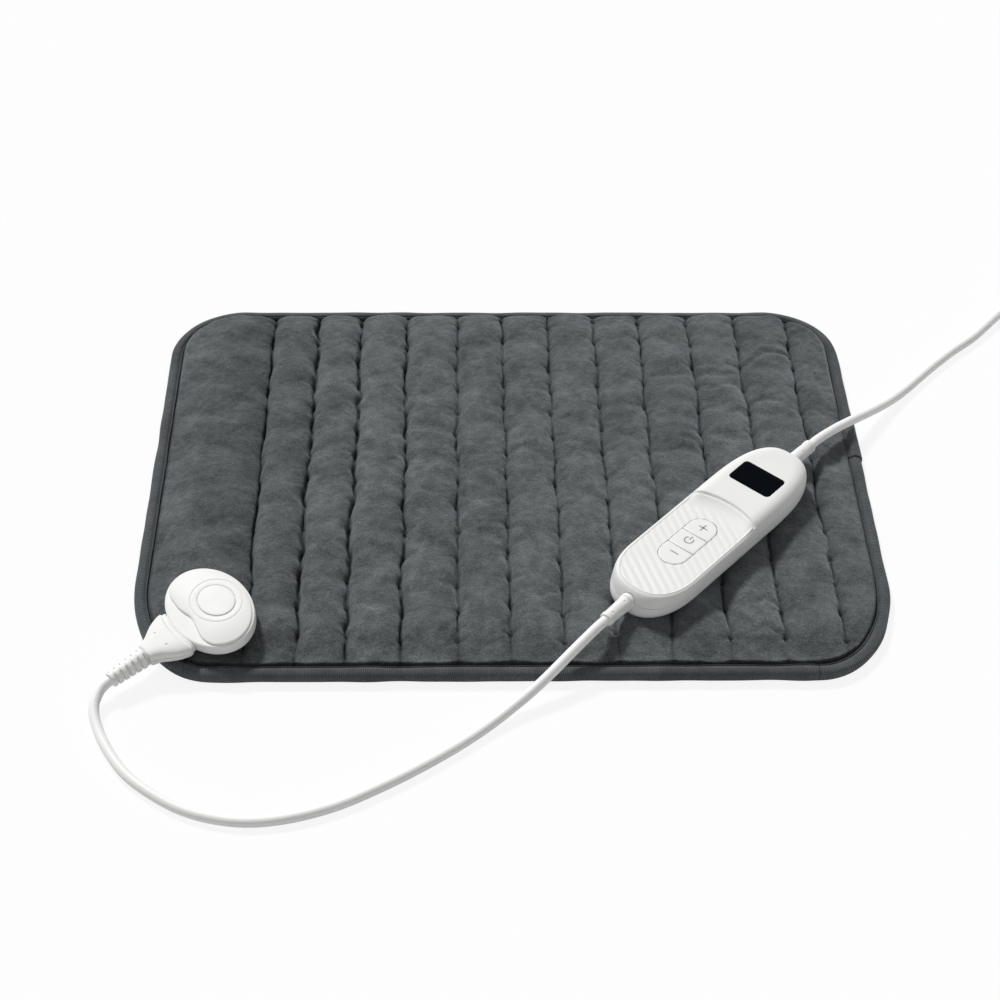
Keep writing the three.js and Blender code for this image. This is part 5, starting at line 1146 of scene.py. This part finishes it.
top_rings = cap_rings(KEY_EDGE, DOME_EDGE, FACE, DOME, True)[::-1]
top_rings += cap_rings(UNDER_EDGE, UNDER_DOME_EDGE, ROOF, UNDER_DOME, False)
top_size = len(top_rings[0])


def closing(row, flip):
    """Faces that close a ring whose second half mirrors its first."""
    faces = []
    for j in range(top_size // 2):
        quad = (j, j + 1, (top_size - j - 1) % top_size, (top_size - j) % top_size)
        quad = [row * top_size + v for v in dict.fromkeys(quad)]
        faces.append(quad[::-1] if flip else quad)
    return faces


top_faces = loft_faces(len(top_rings), top_size) + closing(0, True) + closing(len(top_rings) - 1, False)
top_shell = put("controller_top", top_rings, top_faces, white, "controller_top_shell", crease=None)

# The openings in the top shell: the keys' pill, the window and the two bushes.
KEYS_HALF, KEYS_ROUND, KEY_PITCH, KEY_GAP = 20.25, 8.3, 12.6, 0.13
PILL_STRAIGHT = KEYS_HALF - KEYS_ROUND
WINDOW_HALVES, WINDOW_CORNER = (8.5, 13.2), 2.3
BUSH_HOLE, BUSH_OUT, PAD_SEAT, MAINS_SEAT = 4.8, 80, 68.6, 71.8


def pill(grow):
    r = KEYS_ROUND + grow
    a = np.linspace(-pi / 2, pi / 2, 24)
    end = np.stack([PILL_STRAIGHT + r * np.cos(a), r * np.sin(a)], 1)
    return np.concatenate([end, -end]) + (KEYS_X, 0)


def window(grow):
    r = max(WINDOW_CORNER + grow, 0.3)
    out = []
    for k, (sx, sy) in enumerate(((1, 1), (-1, 1), (-1, -1), (1, -1))):
        for a in np.radians(np.linspace(90 * k, 90 * k + 90, 9)):
            x = DISPLAY_X + sx * (WINDOW_HALVES[0] + grow - r) + r * cos(a)
            out.append((x, sy * (WINDOW_HALVES[1] + grow - r) + r * sin(a)))
    return np.array(out)


def cut_away(obj, cutters):
    """Cuts pieces away and leaves plain mesh data."""
    for cutter in cutters:
        mod = obj.modifiers.new("cut", "BOOLEAN")
        mod.operation, mod.solver, mod.object = "DIFFERENCE", "EXACT", cutter
        bpy.context.view_layer.update()
        cut = obj.evaluated_get(bpy.context.evaluated_depsgraph_get())
        made = bpy.data.meshes.new_from_object(cut)
        obj.modifiers.remove(mod)
        obj.data = made
    for cutter in cutters:
        bpy.data.objects.remove(cutter)


cutters = [
    loft("cutter", [level(outline, low), level(outline, high)], None, crease=None)
    for outline, low, high in ((pill(0.3), 9, 16), (window(0.22), 16.2, 19), (window(-1), 12, 18))
]
cutters += [
    revolve("cutter", [(a, BUSH_HOLE), (b, BUSH_HOLE)], None, axis_at=(0, CASE_CORD), sides=64)
    for a, b in ((PAD_SEAT + FIT, BUSH_OUT), (-BUSH_OUT, -PAD_SEAT))
]
cut_away(top_shell, cutters)
top_shell.data.transform(CONTROLLER)
top_shell.data.set_sharp_from_angle(angle=radians(42))
loft("display_pane", levels(window, [
    (-1.5, 16.5), (-0.05, 16.5), (0, 16.6), (0, 17.3), (-0.1, 17.45), (-0.35, 17.52), (-3, 17.55),
]), glass_black, "display_window", at=CONTROLLER, crease=60)

# Keys: three sectors of one pill, each with its sign printed on it.
KEY_TOP, SIGN_WIDTH, SIGN_THICK, SIGN_SUNK = 14.6, 0.78, 0.05, 0.02
BAR = [(-2.6, 0), (0, 0), (2.6, 0)]
SIGNS = {
    "minus": (-32.2, [BAR]),
    "power": (-19.7, [
        [(2.4 * sin(t), 2.4 * cos(t)) for t in np.radians(np.linspace(40, 320, 33))],
        [(0, 0.5), (0, 1.8), (0, 3.2)],
    ]),
    "plus": (-7.3, [BAR, [(v, u) for u, v in BAR]]),
}


def key_outline(low, high, inset):
    a, b = low + inset, high - inset
    x = a + (b - a) * (1 - np.cos(np.linspace(0, pi, 90))) / 2
    beyond = np.maximum(np.abs(x - KEYS_X) - PILL_STRAIGHT, 0)
    return both_sides(x, np.maximum(np.sqrt(np.maximum((KEYS_ROUND - inset) ** 2 - beyond ** 2, 0)), 0.02))


def stroke_rings(points):
    """A flat printed stroke along points, as a low closed bar."""
    p = np.array(points)
    side = headings(p)[:, ::-1] * (-1, 1) * SIGN_WIDTH / 2
    low, high = KEY_TOP - SIGN_SUNK, KEY_TOP - SIGN_SUNK + SIGN_THICK
    return [
        [(*(q - s), low), (*(q + s), low), (*(q + s * 0.96), high), (*(q - s * 0.96), high)]
        for q, s in zip(p, side)
    ]


for k, name in enumerate(SIGNS):
    low = KEYS_X - KEYS_HALF if k == 0 else KEYS_X + (k - 1.5) * KEY_PITCH + KEY_GAP
    high = KEYS_X + KEYS_HALF if k == 2 else KEYS_X + (k - 0.5) * KEY_PITCH - KEY_GAP
    loft(f"key_{name}_cap", levels(lambda inset: key_outline(low, high, inset), [
        (2.0, 12.1), (0.3, 12.1), (0, 12.3), (0, 14.05), (0.06, 14.3), (0.22, 14.5), (0.5, 14.58),
        (1.2, KEY_TOP), (3.2, KEY_TOP), (5.2, KEY_TOP),
    ]), key_white, f"key_{name}", body=f"{name}_button", at=CONTROLLER, crease=50)

# Signs read with the display at the top: u is to the reader's right, v towards the display.
for name, (x, lines) in SIGNS.items():
    points, faces = [], []
    for line in lines:
        more = skin(stroke_rings([(x + v, -u) for u, v in line]), start=len(points))
        points += more[0]
        faces += more[1]
    put(f"key_{name}_sign", points, faces, print_grey, body=f"{name}_button", at=CONTROLLER, crease=40)

# Entry bushes: the section from the flange on (distance, radius), then back from the tip.
BUSH_ROOT = [
    (-1.5, 2.9), (0, 2.9), (0, 4.0), (0.2, 4.35), (0.6, 4.55), (2.7, 4.6), (3.0, 4.5), (3.2, 4.2),
    (3.7, 4.1), (7.5, 3.98),
]
BUSH_TIP = [
    (6.5, 3.75), (3.8, 3.62), (3.3, 3.66), (3.0, 3.82), (2.6, 3.88), (0.9, 3.86), (0.4, 3.75),
    (0.1, 3.5), (0, 3.1), (0, 2.75),
]
BUSH_STEP, BUSH_SIDES = 0.22, 108


def bush_rings(seat, length, marks):
    """A bush as rings, with its pin marks at (along, angle)."""
    start = seat + FIT
    profile = [(start + x, r) for x, r in BUSH_ROOT] + [(start + length - x, r) for x, r in BUSH_TIP]
    steps = profile[:1]
    for (x0, r0), (x1, r1) in zip(profile, profile[1:]):
        count = max(int((x1 - x0) / BUSH_STEP), 1)
        steps += [(x0 + (x1 - x0) * t, r0 + (r1 - r0) * t) for t in np.linspace(0, 1, count + 1)[1:]]
    a = round_angles(BUSH_SIDES)
    rings = []
    for x, r in steps:
        inner = np.full(BUSH_SIDES, r)
        for along, angle in marks:
            off = (a - radians(angle) + pi) % (2 * pi) - pi
            inner -= pin_mark(np.hypot(x - along, r * off))
        rings.append(np.stack([np.full(BUSH_SIDES, x), inner * np.cos(a), CASE_CORD + inner * np.sin(a)], 1))
    return rings


HALF_TURN = Matrix.Rotation(pi, 4, "Z")
for name, seat, length, place, marks in (
    ("pad", PAD_SEAT, 20, CONTROLLER @ HALF_TURN, [(84.6, 70), (79.5, 24), (74.6, 74)]),
    ("mains", MAINS_SEAT, 21, CONTROLLER, [(83.4, 120)]),
):
    rings = bush_rings(seat, length, marks)
    loft(f"bush_{name}_sleeve", rings, white, f"bush_{name}_lead", at=place, crease=40)

# mains plug, along X from the cord's end
MAINS_RELIEF, MAINS_TIP, MAINS_ROOT, MAINS_RIBS = 30, 3.6, 4.8, 5
CASE_START, CASE_LENGTH, CASE_NECK, CASE_SWELL = 30.6, 34, 6.5, 11
PIN_START, PIN_LENGTH, PIN_RADIUS, PIN_SIDE = 64.9, 19, 2, 9.5


def ribbed():
    """Profile of the moulded strain relief with its rounded ribs."""
    pitch = MAINS_RELIEF / MAINS_RIBS
    out = [(FIT, MAINS_TIP - 1.6), (FIT, MAINS_TIP - 0.35), (FIT + 0.25, MAINS_TIP - 0.08)]
    for k in range(MAINS_RIBS):
        outer = MAINS_TIP + (MAINS_ROOT - MAINS_TIP) * k / (MAINS_RIBS - 1)
        front = [(0, -0.25), (0.25 / pitch, -0.05)] if k else []
        back = [(0.66, -0.85), (0.94, -0.88)] if k < MAINS_RIBS - 1 else [(0.95, -0.45), (1, -0.8)]
        rib = [*front, (0.36, 0), (0.55, -0.05), (0.62, -0.3), *back]
        out += [(FIT + (k + share) * pitch, outer + change) for share, change in rib]
    return out


def mains_outline(inset):
    share = np.linspace(0, 1, 40)
    swell_share = (1 - np.cos(pi * np.minimum(share / 0.62, 1))) / 2
    front = np.clip((share - 0.94) / 0.06, 0, 1)
    half = CASE_NECK + CASE_SWELL * swell_share - inset - 1.6 * (1 - np.sqrt(1 - front ** 2))
    return both_sides(CASE_START + inset + (CASE_LENGTH - 2 * inset) * share, half)


mains_relief = revolve(
    "mains_relief_sleeve", ribbed(), cord_cover, "mains_strain_relief", at=MAINS_PLUG, crease=50,
)
ROUNDING = [(4.5, 7), (2.5, 7), (1.4, 6.8), (0.6, 6.2), (0.15, 5.4), (0, 4.5)]
plug_body = loft("mains_plug_case", levels(mains_outline, [
    *((inset, -z) for inset, z in ROUNDING), *ROUNDING[::-1],
]), cord_cover, "mains_plug_body", at=MAINS_PLUG, crease=50)
PIN_DROPS = [(0, 1), (0, 0), (17.7, 0), (18.5, 0.25), (18.9, 0.75), (PIN_LENGTH, 1.4)]
pins = [
    revolve(
        f"mains_pin_{n}", [(PIN_START + x, PIN_RADIUS - drop) for x, drop in PIN_DROPS], brass,
        f"mains_plug_pin_{n}", axis_at=(side * PIN_SIDE, 0), at=MAINS_PLUG,
    )
    for n, side in ((1, -1), (2, 1))
]

# the coil's tie, a band with rounded corners
TIE_ROUND = CORD / 3
tie_reach = (COIL_PITCH * LAYER_TURNS + CORD + 4 * FIT) / 2 - TIE_ROUND
tie_low = TIE_THICK + TIE_ROUND
tie_high = TIE_THICK + COIL_PITCH + CORD + 2 * FIT - TIE_ROUND


def tie_loop(grow):
    r = TIE_ROUND + grow
    return [
        (cx + r * cos(a), cz + r * sin(a))
        for cx, cz, start in (
            (tie_reach, tie_low, -90), (tie_reach, tie_high, 0), (-tie_reach, tie_high, 90),
            (-tie_reach, tie_low, 180),
        )
        for a in np.radians(np.linspace(start, start + 90, 9))
    ]


TIE_BEVEL = TIE_HALF - 0.2
TIE_SECTION = [
    (0, -TIE_BEVEL), (0.15, -TIE_HALF), (0.85, -TIE_HALF), (1, -TIE_BEVEL), (1, TIE_BEVEL),
    (0.85, TIE_HALF), (0.15, TIE_HALF), (0, TIE_BEVEL),
]
tie_rings = [
    [(xi + (xo - xi) * share, y, zi + (zo - zi) * share) for share, y in TIE_SECTION]
    for (xi, zi), (xo, zo) in zip(tie_loop(0), tie_loop(TIE_THICK))
]
tie_middle = np.array((COIL_X, COIL_Y, 0)) + heading(TIE_ANGLE) * COIL_MEAN / 2
tie = loft("coil_band", tie_rings, black, "coil_tie", row_closed=True, at=placed(*tie_middle, TIE_ANGLE))

# inner pieces keep their solids, in the finishes that are called after their slots
plastic("steel", (0.46, 0.47, 0.48), 0.35, **METAL)
plastic("wire_cover", (0.48, 0.09, 0.045), 0.42, swing=0.06)
plastic("inner_plastic", (0.69, 0.69, 0.66), 0.55)
plastic("safety_part", (0.69, 0.62, 0.42), 0.5, swing=0.06)
plastic("circuit_board", (0.014, 0.145, 0.06), 0.4, grain=700, swing=0.2)
plastic("relay_case", (0.025, 0.11, 0.34), 0.45, swing=0.08)
plastic("fuse_glass", (0.62, 0.68, 0.68), 0.12, swing=0.05, Transmission_Weight=0.6)
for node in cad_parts.values():
    if not node.hide_render:
        node.data.materials[0] = FINISHES[node.data.materials[0].name]


# floor, backdrop and light
FLOOR_HALF, FLOOR_GLOW, WORLD_LIGHT = 30, 0.88, 0.29  # metres, and shares of white
floor_mat, tree = material("floor_white", (0.93, 0.93, 0.93), 0.9, Specular_IOR_Level=0)
seen = add(tree, "LightPath", {}, "Is Camera Ray")
glow = add(tree, "MixShader", {
    "Fac": add(tree, "Math", {0: seen, 1: FLOOR_GLOW}, operation="MULTIPLY"),
    1: tree.nodes["Principled BSDF"].outputs["BSDF"],
    2: add(tree, "Emission", {"Strength": 1}),
})
feed(tree, tree.nodes["Material Output"], {"Surface": glow})
floor_mesh = bpy.data.meshes.new("floor")
floor_corners = [(sx * FLOOR_HALF, sy * FLOOR_HALF, 0) for sx, sy in ((-1, -1), (1, -1), (1, 1), (-1, 1))]
floor_mesh.from_pydata(floor_corners, [], [(0, 1, 2, 3)])
floor_mesh.materials.append(floor_mat)
link("floor", floor_mesh)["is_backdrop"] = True

world = bpy.data.worlds.new("studio")
scene.world = world
world.use_nodes = True
tree = world.node_tree
rays = tree.nodes.new("ShaderNodeLightPath").outputs
seen = add(tree, "Math", {0: rays["Is Camera Ray"], 1: rays["Is Glossy Ray"]}, operation="MAXIMUM")
seen = add(tree, "Math", {0: seen, 1: rays["Is Transmission Ray"]}, operation="MAXIMUM")
power = add(tree, "MapRange", {"To Min": WORLD_LIGHT, "To Max": 1, "Value": seen})
feed(tree, tree.nodes["Background"], {"Color": (1, 1, 1, 1), "Strength": power})

key_light = bpy.data.lights.new("key_light", "SUN")
key_light.energy = 2.78
key_light.angle = radians(9)
sun = link("key_light", key_light)
sun.rotation_euler = (-Vector((-0.4, 0.74, 0.9))).to_track_quat("-Z", "Y").to_euler()

low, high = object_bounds()
